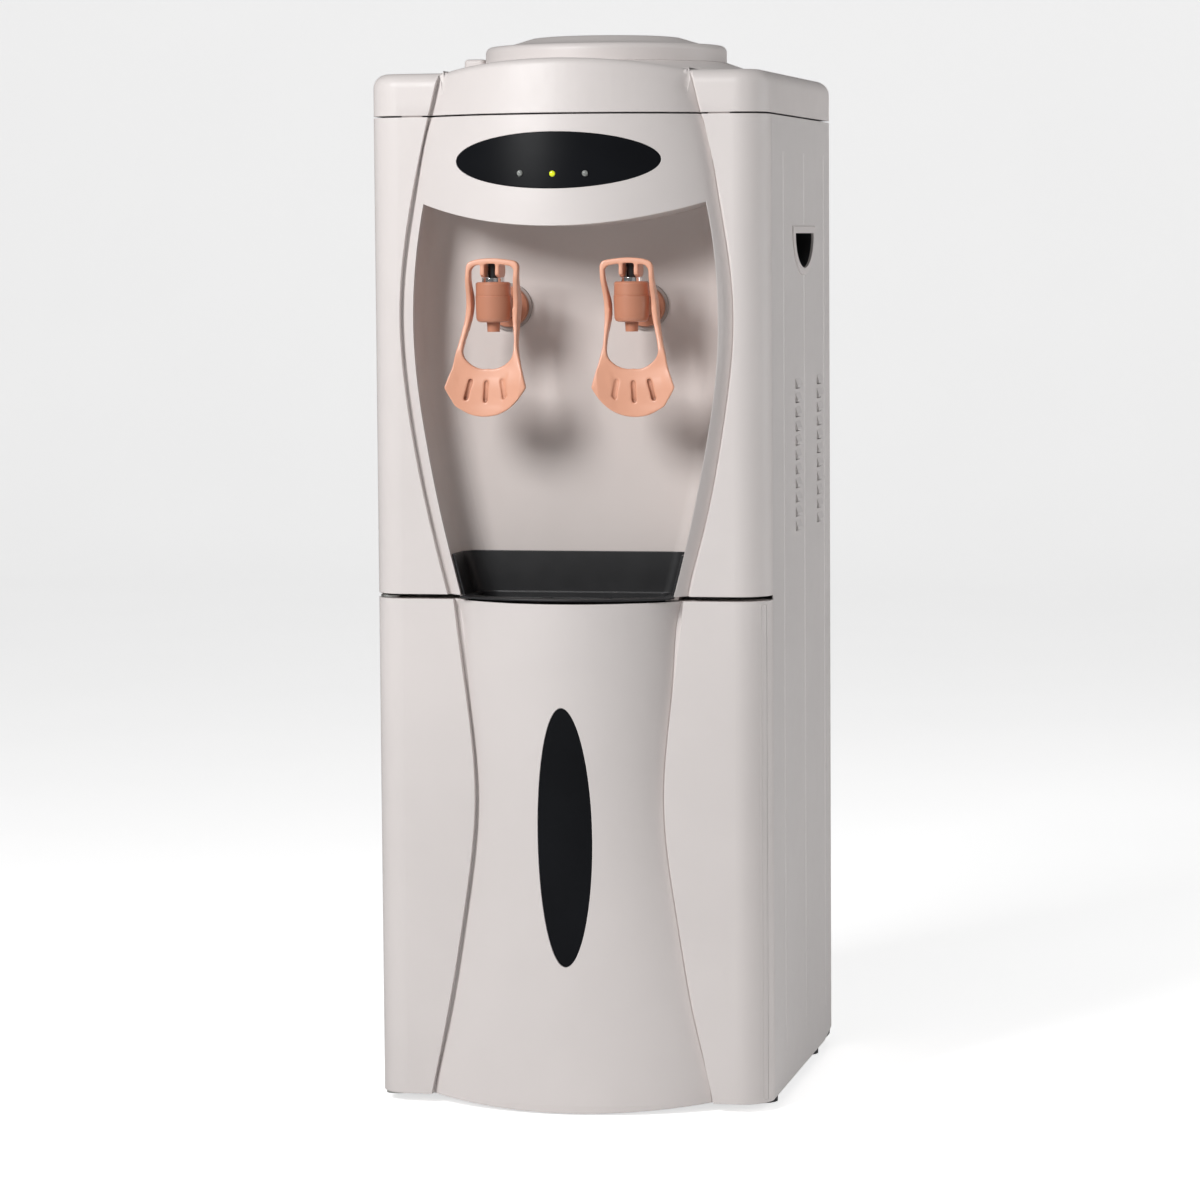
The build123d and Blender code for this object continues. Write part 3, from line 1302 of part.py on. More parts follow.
with BuildPart() as tap_wall_seals:
    with BuildSketch(facing(RECESS_DEPTH)):
        with Locations((0, NECK_Z)):
            with GridLocations(TAP_PITCH, 0, 2, 1):
                Circle(WALL_SEAL_RADIUS)
                Circle(SHANK_RADIUS, mode=Mode.SUBTRACT)
    extrude(amount=WALL_SEAL)

with BuildPart() as tap_nuts:
    with BuildSketch(facing(RECESS_DEPTH + WALL + NUT_THICKNESS)):
        with Locations((0, NECK_Z)):
            with GridLocations(TAP_PITCH, 0, 2, 1):
                RegularPolygon(NUT_RADIUS, 6)
                Circle(SHANK_RADIUS, mode=Mode.SUBTRACT)
    extrude(amount=NUT_THICKNESS)

# ======================================================================================
# Drip tray and its grille
# ======================================================================================
BASIN_BACK = RECESS_DEPTH - TRAY_GAP - 0.6
BASIN_CORNER = 14
BASIN_SIDE_FRONT = 3    # depth at which the basin's curved front meets its sides
RIM_SIDE_FRONT = -3
WING_FRONT = 0          # front ends of the splash wall
RIB_X = 40
SLOT_LENGTH = 46
SLOT_WIDTH = 5.5
SLOT_ROWS = 5
SLOT_PITCH = 12.5


def basin_form(inset, low, high):
    """The basin's outline in plan, drawn in by a wall, as a block."""
    half = BASIN_HALF - inset
    back = depth(BASIN_BACK - inset)
    front = depth(BASIN_SIDE_FRONT + inset)
    with BuildPart() as block:
        with BuildSketch(Plane.XY.offset(low)) as plan:
            with BuildLine():
                ThreePointArc((-half, front), (0, depth(inset - BASIN_REACH)), (half, front))
                Polyline((half, front), (half, back), (-half, back), (-half, front))
            make_face()
            fillet(plan.vertices().group_by(Axis.Y)[-1], BASIN_CORNER - inset)
        extrude(amount=high - low)
    return block.part


with BuildPart() as tray_front:
    rim_half = bow_half(TRAY_RIM_Z)
    with BuildSketch(Plane.XY.offset(TRAY_FOOT_Z)):
        with BuildLine():
            ThreePointArc(
                (-rim_half, depth(RIM_SIDE_FRONT)), (0, depth(-RIM_REACH)), (rim_half, depth(RIM_SIDE_FRONT))
            )
            Polyline(
                (rim_half, depth(RIM_SIDE_FRONT)),
                (rim_half, depth(RECESS_DEPTH)),
                (-rim_half, depth(RECESS_DEPTH)),
                (-rim_half, depth(RIM_SIDE_FRONT)),
            )
        make_face()
    extrude(amount=TRAY_RIM_Z - TRAY_FOOT_Z)

with BuildPart() as drip_tray:
    add(recess_form(-TRAY_GAP, TRAY_LEDGE_Z, RECESS_DEPTH - TRAY_GAP))
    add(slab(-BODY_WIDTH, BODY_WIDTH, WING_FRONT, BODY_DEPTH, TRAY_LEDGE_Z, TRAY_BACK_Z), mode=Mode.INTERSECT)
    rim = recess_form(-TRAY_GAP, TRAY_LEDGE_Z, RECESS_DEPTH - TRAY_GAP) & tray_front.part
    add(rim)
    add(basin_form(0, TRAY_FOOT_Z, TRAY_RIM_Z))
    # hollow of the basin, and the space in front of the splash wall
    add(basin_form(TRAY_WALL, TRAY_FOOT_Z + TRAY_WALL, TRAY_RIM_Z + 1), mode=Mode.SUBTRACT)
    splash_inside = recess_form(-TRAY_GAP - TRAY_WALL, TRAY_LEDGE_Z - 5, RECESS_DEPTH - TRAY_GAP - TRAY_WALL)
    add(
        splash_inside & slab(-BODY_WIDTH, BODY_WIDTH, FAR_FRONT, BODY_DEPTH, TRAY_RIM_Z, TRAY_BACK_Z + 1),
        mode=Mode.SUBTRACT,
    )
    # ribs that carry the grille
    grille_foot = GRILLE_TOP_Z - GRILLE_THICKNESS
    with BuildSketch(Plane.XY.offset(TRAY_FOOT_Z + TRAY_WALL)):
        with Locations((0, depth((BASIN_BACK - BASIN_REACH) / 2 + 2))):
            with GridLocations(2 * RIB_X, 0, 2, 1):
                Rectangle(2, BASIN_BACK + BASIN_REACH - 12)
    extrude(amount=grille_foot - TRAY_FOOT_Z - TRAY_WALL)

with BuildPart() as drip_grille:
    add(basin_form(TRAY_WALL + 0.5, GRILLE_TOP_Z - GRILLE_THICKNESS, GRILLE_TOP_Z))
    with BuildSketch(Plane.XY.offset(GRILLE_TOP_Z - GRILLE_THICKNESS - 1)):
        with Locations((0, depth(9))):
            with GridLocations(SLOT_LENGTH + 5, SLOT_PITCH, 3, SLOT_ROWS):
                SlotOverall(SLOT_LENGTH, SLOT_WIDTH)
    extrude(amount=GRILLE_THICKNESS + 2, mode=Mode.SUBTRACT)

# ======================================================================================
# Bottle seat: a funnel that lifts out of the top cover
# ======================================================================================
SKIRT_RADIUS = SEAT_HOLE_RADIUS - FIT_GAP
SKIRT_FOOT_Z = COLD_TOP_Z + 6
THROAT_TOP_Z = 868
THROAT_WALL = 2.5
COLLAR_SLOPE_Z = 895    # top of the collar's upright edge
CROWN_RADIUS = 80
with BuildPart() as bottle_seat:
    with BuildSketch(Plane.XZ.offset(-SEAT_Y)):
        with BuildLine():
            throat_foot = THROAT_TOP_Z - THROAT_LENGTH
            Polyline(
                (THROAT_RADIUS, throat_foot),
                (THROAT_RADIUS + THROAT_WALL, throat_foot),
                (THROAT_RADIUS + THROAT_WALL, THROAT_TOP_Z - 2),
                (42, THROAT_TOP_Z + 4),
                (62, PLINTH_Z + 7),
                (SKIRT_RADIUS - WALL, PLINTH_Z + 3),
                (SKIRT_RADIUS - WALL, SKIRT_FOOT_Z),
                (SKIRT_RADIUS, SKIRT_FOOT_Z),
                (SKIRT_RADIUS, PLINTH_Z),
                (COLLAR_RADIUS, PLINTH_Z),
                (COLLAR_RADIUS, COLLAR_SLOPE_Z),
            )
            RadiusArc((COLLAR_RADIUS, COLLAR_SLOPE_Z), (COLLAR_RADIUS - 9, COLLAR_SLOPE_Z + 9), -9.5)
            Line((COLLAR_RADIUS - 9, COLLAR_SLOPE_Z + 9), (CROWN_RADIUS + 6, COLLAR_TOP_Z - 1.5))
            ThreePointArc(
                (CROWN_RADIUS + 6, COLLAR_TOP_Z - 1.5), (CROWN_RADIUS, COLLAR_TOP_Z), (CROWN_RADIUS - 8, COLLAR_TOP_Z - 1.5)
            )
            Polyline(
                (CROWN_RADIUS - 8, COLLAR_TOP_Z - 1.5),
                (62, COLLAR_TOP_Z - 8),
                (40, THROAT_TOP_Z + 12),
                (THROAT_RADIUS, THROAT_TOP_Z),
                (THROAT_RADIUS, throat_foot),
            )
        make_face()
    revolve(axis=Axis((0, SEAT_Y, 0), (0, 0, 1)))

# ======================================================================================
# Water circuit
# ======================================================================================
TAP_X = TAP_PITCH / 2
COLD_OUTLET = (45, 130)     # width and depth of the outlet to the cold tap
FEED_OUTLET = (-45, 205)    # outlet down to the hot tank
HOT_OUTLET = (-75, 175)     # outlet up to the hot tap
FOAM_FOOT_Z = COLD_FOOT_Z - FOAM + 1
FOAM_TOP_Z = COLD_TOP_Z - 4
HOSE_GAP = 0.4
BAFFLE_Z = 760
THERMOSTAT_RADIUS = 7
THERMOSTAT_PITCH = 26
THERMOSTAT_BACK = 28    # behind the hot tank's middle
BLOCK_HALF = 20
SINK_FACE = 274             # depth of the heat sink's base
SINK_BASE = 6
SINK_HALF = 48
FIN_COUNT = 12
FIN_THICKNESS = 1.6
FIN_END = 306
FAN_BACK = FIN_END + 25
FAN_HUB = 18
FAN_SHAFT = 3
BLADE_COUNT = 7


def spot(place):
    return (place[0], depth(place[1]))


with BuildPart() as cold_tank:
    with BuildSketch(Plane.XY.offset(COLD_FOOT_Z)):
        with Locations((0, SEAT_Y)):
            Circle(COLD_RADIUS)
    extrude(amount=COLD_TOP_Z - COLD_FOOT_Z)
    offset(amount=-TANK_SHEET, openings=cold_tank.faces().sort_by(Axis.Z)[-1])
    with BuildSketch(Plane.XY.offset(COLD_FOOT_Z - 1)):
        with Locations(spot(COLD_OUTLET), spot(FEED_OUTLET)):
            Circle(HOSE_BORE)
    extrude(amount=TANK_SHEET + 2, mode=Mode.SUBTRACT)

with BuildPart() as cold_tank_insulation:
    with BuildSketch(Plane.XY.offset(FOAM_FOOT_Z)):
        with Locations((0, SEAT_Y)):
            Circle(COLD_RADIUS + FOAM)
    extrude(amount=FOAM_TOP_Z - FOAM_FOOT_Z)
    with BuildSketch(Plane.XY.offset(COLD_FOOT_Z)):
        with Locations((0, SEAT_Y)):
            Circle(COLD_RADIUS)
    extrude(amount=FOAM_TOP_Z, mode=Mode.SUBTRACT)
    # window for the cooling block, and the hoses' holes
    add(
        slab(-BLOCK_HALF, BLOCK_HALF, SEAT_DEPTH, SINK_FACE, FAN_Z - BLOCK_HALF, FAN_Z + BLOCK_HALF),
        mode=Mode.SUBTRACT,
    )
    with BuildSketch(Plane.XY.offset(FOAM_FOOT_Z - 1)):
        with Locations(spot(COLD_OUTLET), spot(FEED_OUTLET)):
            Circle(HOSE_RADIUS)
    extrude(amount=FOAM + 2, mode=Mode.SUBTRACT)

with BuildPart() as tank_baffle:
    with BuildSketch(Plane.XY.offset(BAFFLE_Z)):
        with Locations((0, SEAT_Y)):
            Circle(COLD_RADIUS - TANK_SHEET)
        with Locations((0, SEAT_Y + 45), (30, SEAT_Y - 45), (-30, SEAT_Y - 45)):
            Circle(6, mode=Mode.SUBTRACT)
    extrude(amount=2.5)

with BuildPart() as tank_bracket:
    bracket_sheet = 2
    bracket_top = FOAM_FOOT_Z
    with BuildSketch(Plane.XY.offset(bracket_top - bracket_sheet)):
        with Locations((0, SEAT_Y)):
            Rectangle(2 * BASE_HALF, 150)
            Circle(24, mode=Mode.SUBTRACT)
        with Locations(spot(COLD_OUTLET), spot(FEED_OUTLET), spot(HOT_OUTLET)):
            Circle(HOSE_RADIUS + HOSE_GAP, mode=Mode.SUBTRACT)
    extrude(amount=bracket_sheet)
    for side in (-1, 1):
        with BuildSketch(Plane.XY.offset(bracket_top - 18)):
            with Locations((side * (PANEL_X - SHEET - bracket_sheet / 2), SEAT_Y)):
                Rectangle(bracket_sheet, 150)
        extrude(amount=18)

with BuildPart() as hot_tank:
    hot_place = spot((HOT_X, HOT_DEPTH))
    with BuildSketch(Plane.XY.offset(HOT_FOOT_Z)):
        with Locations(hot_place):
            Circle(HOT_RADIUS)
            Circle(HOT_RADIUS - TANK_SHEET, mode=Mode.SUBTRACT)
    extrude(amount=HOT_TOP_Z - HOT_FOOT_Z)
    for end in (HOT_FOOT_Z, HOT_TOP_Z - TANK_SHEET):
        with BuildSketch(Plane.XY.offset(end)):
            with Locations(hot_place):
                Circle(HOT_RADIUS)
        extrude(amount=TANK_SHEET)
    with BuildSketch(Plane.XY.offset(HOT_TOP_Z - TANK_SHEET - 1)):
        with Locations(spot(FEED_OUTLET), spot(HOT_OUTLET)):
            Circle(HOSE_BORE)
    extrude(amount=TANK_SHEET + 2, mode=Mode.SUBTRACT)
    with BuildSketch(facing(HOT_DEPTH + HOT_RADIUS + 1)):
        with Locations((DRAIN_X, DRAIN_Z)):
            Circle(DRAIN_BORE)
    extrude(amount=10, mode=Mode.SUBTRACT)

with BuildPart() as hot_tank_jacket:
    with BuildSketch(Plane.XY.offset(DECK_LEVEL)):
        with Locations(hot_place):
            Circle(HOT_RADIUS + FOAM)
    extrude(amount=HOT_TOP_Z + FOAM / 2 - DECK_LEVEL)
    with BuildSketch(Plane.XY.offset(HOT_FOOT_Z)):
        with Locations(hot_place):
            Circle(HOT_RADIUS)
    extrude(amount=HOT_TOP_Z - HOT_FOOT_Z, mode=Mode.SUBTRACT)
    with BuildSketch(Plane.XY.offset(HOT_TOP_Z - 1)):
        with Locations(spot(FEED_OUTLET), spot(HOT_OUTLET)):
            Circle(HOSE_RADIUS)
    extrude(amount=FOAM, mode=Mode.SUBTRACT)
    with BuildSketch(facing(HOT_DEPTH + HOT_RADIUS + FOAM + 1)):
        with Locations((DRAIN_X, DRAIN_Z)):
            Circle(DRAIN_RADIUS)
    extrude(amount=FOAM + 10, mode=Mode.SUBTRACT)
    with BuildSketch(Plane.XY.offset(HOT_TOP_Z)):
        with Locations((HOT_X, hot_place[1] + THERMOSTAT_BACK)):
            with GridLocations(THERMOSTAT_PITCH, 0, 2, 1):
                Circle(THERMOSTAT_RADIUS)
    extrude(amount=FOAM, mode=Mode.SUBTRACT)
    # groove that the heater band lies in
    with BuildSketch(Plane.XY.offset(HOT_FOOT_Z + 60)):
        with Locations(hot_place):
            Circle(HOT_RADIUS + 3)
    extrude(amount=30, mode=Mode.SUBTRACT)

with BuildPart() as heater_band:
    with BuildSketch(Plane.XY.offset(HOT_FOOT_Z + 60)):
        with Locations(hot_place):
            Circle(HOT_RADIUS + 3)
            Circle(HOT_RADIUS, mode=Mode.SUBTRACT)
    extrude(amount=30)

with BuildPart() as thermostats:
    with BuildSketch(Plane.XY.offset(HOT_TOP_Z)):
        with Locations((HOT_X, hot_place[1] + THERMOSTAT_BACK)):
            with GridLocations(THERMOSTAT_PITCH, 0, 2, 1):
                Circle(THERMOSTAT_RADIUS)
    extrude(amount=FOAM)

# ---- Cooling unit: block against the tank, finned heat sink, fan ----------------------
with BuildPart() as cold_block:
    add(slab(-BLOCK_HALF, BLOCK_HALF, SEAT_DEPTH, SINK_FACE, FAN_Z - BLOCK_HALF, FAN_Z + BLOCK_HALF))
    with BuildSketch(Plane.XY.offset(FAN_Z - BLOCK_HALF - 1)):
        with Locations((0, SEAT_Y)):
            Circle(COLD_RADIUS)
    extrude(amount=2 * BLOCK_HALF + 2, mode=Mode.SUBTRACT)

with BuildPart() as heat_sink:
    add(slab(-SINK_HALF, SINK_HALF, SINK_FACE, SINK_FACE + SINK_BASE, FAN_Z - SINK_HALF, FAN_Z + SINK_HALF))
    with BuildSketch(facing(FIN_END)):
        with Locations((0, FAN_Z)):
            with GridLocations((2 * SINK_HALF - FIN_THICKNESS) / (FIN_COUNT - 1), 0, FIN_COUNT, 1):
                Rectangle(FIN_THICKNESS, 2 * SINK_HALF)
    extrude(amount=FIN_END - SINK_FACE - SINK_BASE)

with BuildPart() as fan_frame:
    with BuildSketch(facing(FAN_BACK)):
        with Locations((0, FAN_Z)):
            RectangleRounded(2 * FAN_HALF, 2 * FAN_HALF, 5)
            Circle(REAR_BORE_RADIUS, mode=Mode.SUBTRACT)
    extrude(amount=FAN_BACK - FIN_END)
    # motor mount on three arms, with the shaft that the rotor turns on
    with BuildSketch(facing(FIN_END + 3)):
        with Locations((0, FAN_Z)):
            Circle(FAN_HUB)
            with PolarLocations(REAR_BORE_RADIUS / 2 + 4, 3, start_angle=90):
                Rectangle(REAR_BORE_RADIUS, 5)
    extrude(amount=3)
    with BuildSketch(facing(FAN_BACK - 4)):
        with Locations((0, FAN_Z)):
            Circle(FAN_SHAFT)
    extrude(amount=FAN_BACK - FIN_END - 6)

with BuildPart() as fan_rotor:
    with BuildSketch(facing(FAN_BACK - 2)):
        with Locations((0, FAN_Z)):
            Circle(FAN_HUB)
    extrude(amount=FAN_BACK - FIN_END - 6)
    for i in range(BLADE_COUNT):
        blade = Location((0, depth(FIN_END + 13), FAN_Z)) * Location((0, 0, 0), (0, i * 360 / BLADE_COUNT, 0))
        pitched = blade * Location((0, 0, FAN_HUB - 1)) * Location((0, 0, 0), (0, 0, 35))
        with BuildSketch(Plane(pitched)):
            Rectangle(20, 1.6)
        extrude(amount=REAR_BORE_RADIUS - FAN_HUB - 1)
    with BuildSketch(facing(FAN_BACK)):
        with Locations((0, FAN_Z)):
            Circle(FAN_SHAFT + RUNNING_GAP)
    extrude(amount=FAN_BACK - FIN_END, mode=Mode.SUBTRACT)

# ---- Hoses, drain and control board ----------------------------------------------------


def make_hose(points, bend=14):
    """Round tube along a path with rounded bends; points are width, depth and height."""
    route = [(x, depth(d), z) for x, d, z in points]
    with BuildPart() as hose:
        with BuildLine() as path:
            FilletPolyline(route, radius=bend)
        with BuildSketch(Plane(origin=path.line @ 0, z_dir=path.line % 0)):
            Circle(HOSE_RADIUS)
            Circle(HOSE_BORE, mode=Mode.SUBTRACT)
        sweep()
    return hose.part


with BuildPart() as cold_hose:
    add(
        make_hose([
            (*COLD_OUTLET, COLD_FOOT_Z), (*COLD_OUTLET, NECK_Z), (TAP_X, SHANK_END + 30, NECK_Z),
            (TAP_X, SHANK_END, NECK_Z),
        ])
    )

with BuildPart() as hot_hose:
    add(
        make_hose([
            (*HOT_OUTLET, HOT_TOP_Z), (*HOT_OUTLET, NECK_Z), (-TAP_X, SHANK_END + 40, NECK_Z),
            (-TAP_X, SHANK_END, NECK_Z),
        ])
    )

with BuildPart() as hot_feed_hose:
    with BuildSketch(Plane.XY.offset(HOT_TOP_Z)):
        with Locations(spot(FEED_OUTLET)):
            Circle(HOSE_RADIUS)
            Circle(HOSE_BORE, mode=Mode.SUBTRACT)
    extrude(amount=COLD_FOOT_Z - HOT_TOP_Z)

DRAIN_END = BODY_DEPTH + 5
with BuildPart() as drain_pipe:
    with BuildSketch(facing(DRAIN_END)):
        with Locations((DRAIN_X, DRAIN_Z)):
            Circle(DRAIN_RADIUS)
    extrude(amount=DRAIN_END - HOT_DEPTH - HOT_RADIUS + 2)
    with BuildSketch(facing(DRAIN_END)):
        with Locations((DRAIN_X, DRAIN_Z)):
            Circle(DRAIN_BORE)
    extrude(amount=DRAIN_END, mode=Mode.SUBTRACT)
    with BuildSketch(Plane.XY.offset(HOT_FOOT_Z)):
        with Locations(hot_place):
            Circle(HOT_RADIUS)
    extrude(amount=HOT_TOP_Z - HOT_FOOT_Z, mode=Mode.SUBTRACT)

CAP_RADIUS = 12
CAP_FACE = BODY_DEPTH + REAR_REACH
with BuildPart() as drain_cap:
    with BuildSketch(facing(CAP_FACE)):
        with Locations((DRAIN_X, DRAIN_Z)):
            Circle(CAP_RADIUS)
    extrude(amount=CAP_FACE - BODY_DEPTH - FIT_GAP)
    chamfer(drain_cap.faces().sort_by(Axis.Y)[-1].edges(), 1)
    with BuildSketch(facing(DRAIN_END + FIT_GAP)):
        with Locations((DRAIN_X, DRAIN_Z)):
            Circle(DRAIN_RADIUS + RUNNING_GAP)
    extrude(amount=REAR_REACH, mode=Mode.SUBTRACT)

BOARD_X = (BODY_WIDTH / 2 - 110, BODY_WIDTH / 2 - 20)
BOARD_DEPTHS = (120, 230)
BOARD_LIFT = 8
CAPACITOR_RADIUS = 7
TRANSFORMER_HEIGHT = 32.4
RELAY_HEIGHT = 16.4
BOARD_TOP_Z = DECK_LEVEL + BOARD_LIFT + 1.6
with BuildPart() as power_board:
    left, right = BOARD_X
    front, back = BOARD_DEPTHS
    add(slab(left, right, front, back, DECK_LEVEL + BOARD_LIFT, BOARD_TOP_Z))
    with BuildSketch(Plane.XY.offset(DECK_LEVEL)):
        with Locations(((left + right) / 2, depth((front + back) / 2))):
            with GridLocations(right - left - 10, back - front - 10, 2, 2):
                Circle(POST_RADIUS + 0.5)
    extrude(amount=BOARD_LIFT)
    # transformer, relay and capacitors
    add(slab(left + 10, left + 48, front + 15, front + 55, BOARD_TOP_Z, BOARD_TOP_Z + TRANSFORMER_HEIGHT))
    add(slab(right - 32, right - 8, front + 15, front + 32, BOARD_TOP_Z, BOARD_TOP_Z + RELAY_HEIGHT))
    with BuildSketch(Plane.XY.offset(BOARD_TOP_Z)):
        with Locations((left + 18, depth(back - 25)), (left + 40, depth(back - 30)), (left + 65, depth(back - 40))):
            Circle(CAPACITOR_RADIUS)
    extrude(amount=20)

with BuildPart() as catch_plate:
    add(
        slab(
            MAGNET_X - 9, MAGNET_X + 9, LINER_FRONT - 0.3, LINER_FRONT + SHEET, MAGNET_Z - 24, MAGNET_Z + 24
        )
    )

# ======================================================================================
# Files, one for each piece
# ======================================================================================
pieces = {
    "base_pan": base_pan,
    "left_side_panel": left_side_panel,
    "right_side_panel": right_side_panel,
    "back_panel": back_panel,
    "upper_front_panel": upper_front_panel,
    "top_cover": top_cover,
    "dispensing_recess": dispensing_recess,
    "display_window": display_window,
    "indicator_board": indicator_board,
    "lit_indicator": lit_indicator,
    "unlit_indicators": unlit_indicators,
    "left_grip": left_grip,
    "right_grip": right_grip,
    "mid_deck": mid_deck,
    "cabinet_liner": cabinet_liner,
    "cold_tank": cold_tank,
    "cold_tank_insulation": cold_tank_insulation,
    "tank_baffle": tank_baffle,
    "tank_bracket": tank_bracket,
    "hot_tank": hot_tank,
    "hot_tank_jacket": hot_tank_jacket,
    "heater_band": heater_band,
    "thermostats": thermostats,
    "cold_block": cold_block,
    "heat_sink": heat_sink,
    "fan_frame": fan_frame,
    "cold_hose": cold_hose,
    "hot_feed_hose": hot_feed_hose,
    "hot_hose": hot_hose,
    "drain_pipe": drain_pipe,
    "power_board": power_board,
    "feet": feet,
    "screws": screws,
    "cord_gland": cord_gland,
    "switch_housing": switch_housing,
    "hinge_brackets": hinge_brackets,
    "catch_plate": catch_plate,
    "left_tap_body": left_tap_body,
    "right_tap_body": right_tap_body,
    "left_tap_bonnet": left_tap_bonnet,
    "right_tap_bonnet": right_tap_bonnet,
    "tap_washers": tap_washers,
    "tap_nuts": tap_nuts,
    "tap_wall_seals": tap_wall_seals,
    "door_shell": door_shell,
    "door_liner": door_liner,
    "door_insert": door_insert,
    "door_bushes": door_bushes,
    "door_magnet": door_magnet,
    "left_lever": left_lever,
    "left_stem": left_stem,
    "right_lever": right_lever,
    "right_stem": right_stem,
    "drip_tray": drip_tray,
    "drip_grille": drip_grille,
    "bottle_seat": bottle_seat,
    "heater_switch": heater_switch,
    "cooler_switch": cooler_switch,
    "drain_cap": drain_cap,
    "fan_rotor": fan_rotor,
}
for name, piece in pieces.items():
    piece.part.label = name
    export_step(piece.part, f"parts/{name}.step")
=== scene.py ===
import json
import math

import bmesh
import bpy
from bpy.props import FloatProperty, FloatVectorProperty, IntProperty, PointerProperty
from bpy.types import Operator, Panel, PropertyGroup
from mathutils import Matrix, Vector


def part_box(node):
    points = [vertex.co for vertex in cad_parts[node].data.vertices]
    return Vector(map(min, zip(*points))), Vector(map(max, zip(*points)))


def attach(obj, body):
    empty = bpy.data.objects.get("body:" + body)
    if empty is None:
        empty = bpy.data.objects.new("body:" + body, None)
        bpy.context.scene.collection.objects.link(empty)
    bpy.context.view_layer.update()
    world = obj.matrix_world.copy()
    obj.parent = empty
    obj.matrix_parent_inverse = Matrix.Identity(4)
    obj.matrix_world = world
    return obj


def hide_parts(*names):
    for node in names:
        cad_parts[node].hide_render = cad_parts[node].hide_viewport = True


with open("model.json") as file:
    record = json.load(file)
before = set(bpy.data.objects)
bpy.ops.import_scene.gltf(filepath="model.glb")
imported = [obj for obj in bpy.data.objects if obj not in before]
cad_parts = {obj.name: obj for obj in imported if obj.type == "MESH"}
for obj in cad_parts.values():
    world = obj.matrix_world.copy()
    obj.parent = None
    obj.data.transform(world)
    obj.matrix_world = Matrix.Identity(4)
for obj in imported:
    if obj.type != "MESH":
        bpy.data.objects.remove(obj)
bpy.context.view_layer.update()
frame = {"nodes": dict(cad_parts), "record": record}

bl_info = {
    "name": "Bottle Water Cooler",
    "version": (1, 0, 0),
    "blender": (4, 5, 0),
    "location": "View3D > Sidebar > Water Cooler",
    "description": "Finishes, fine pieces and a small studio for the packed water cooler",
    "category": "Object",
}

NODES = frame["nodes"]
CATEGORY = "Water Cooler"
SEAT_Y = 0.0265            # the bottle's axis stands this far behind the frame's middle
PLINTH_TOP = 0.8870        # the collar stands here
COVER_ROUGHNESS = 0.46
COVER_DUST = 0.10
GRIP_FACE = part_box("right_grip")[1][0]
GRIP_WALL = 0.0022         # from the grip's face to where painted shade blackens its pocket
LENS_PITCH = 0.0275
LENS_BOW = 0.0012          # how far the bowed window falls back at an outer lens


# ======================================================================================
# Settings
# ======================================================================================


def colour_setting(name, description, default):
    """A colour swatch in the sidebar."""
    return FloatVectorProperty(
        name=name, description=description, default=default, size=3, min=0, max=1, subtype="COLOR"
    )


def length_setting(name, description, default):
    """A length in metres."""
    return FloatProperty(name=name, description=description, default=default, min=0, unit="LENGTH", precision=5)


class CoolerFinishes(PropertyGroup):
    """Colours and textures of the plastics and metals."""

    cover: colour_setting("Covers", "Warm white of the front mouldings", (0.735, 0.685, 0.668))
    # Painted shade: the recess is the cover's white, given a darker, warmer tone for the shade inside it.
    recess: colour_setting("Recess", "Warm white of the dispensing recess", (0.66, 0.60, 0.575))
    casing: colour_setting("Casing", "Powder coat of the steel sides and back", (0.70, 0.662, 0.65))
    # Taps and levers are one peach plastic: the taps' colour is painted darker for their shade in the recess, the
    # levers' paler for the light on them.
    tap: colour_setting("Taps", "Peach of the taps", (0.55, 0.232, 0.142))
    lever: colour_setting("Levers", "Paler peach of the levers", (0.80, 0.395, 0.262))
    # Painted shade: deep brown laid into the taps' creases and hollows where little light reaches.
    painted_crease_shade: colour_setting("Creases", "Deep brown in the creases of the taps", (0.17, 0.045, 0.02))
    black: colour_setting("Black plastic", "Tray, grille, stems and fan", (0.016, 0.016, 0.0175))
    lit: colour_setting("Lit light", "The light that is on", (0.62, 0.68, 0.02))
    edge_radius: length_setting("Edge radius", "Softness of moulded edges", 0.0011)
    grain: length_setting("Grain", "Height of the moulding texture", 0.000012)


class CoolerFineParts(PropertyGroup):
    """Sizes of the pieces that are added to the frame."""

    lever_cell: length_setting("Lever cell", "Cell of the lever's smoothed skin", 0.0006)
    lever_passes: IntProperty(
        name="Lever softening", description="Passes that round the lever's edges", default=6, min=0
    )
    lever_lean: FloatProperty(
        name="Lever lean", description="Outward lean of each lever about its waist, across over down",
        default=0.057,
    )
    lever_dish: length_setting("Lever dish", "How far the paddle's middle lies behind its sides", 0.005)
    lever_sweep: length_setting("Lever sweep", "How far the side bars curve back beside the valve", 0.010)
    arch_rise: length_setting("Arch rise", "Height of the cover's arched middle over its sides", 0.0094)
    arch_lift: length_setting("Arch lift", "How far the arch stands over the flat middle", 0.0014)
    shoulder_lift: length_setting("Shoulder lift", "How far the cover's shoulders are raised", 0.002)
    lens_radius: length_setting("Lens radius", "Radius of a domed lens of the display", 0.0025)
    lens_rise: length_setting("Lens rise", "How far a lens stands out", 0.0012)
    lug_size: FloatVectorProperty(
        name="Lug size", description="Width, length and height of the stop lug", default=(0.0180, 0.0300, 0.0190),
        size=3, subtype="XYZ", unit="LENGTH",
    )


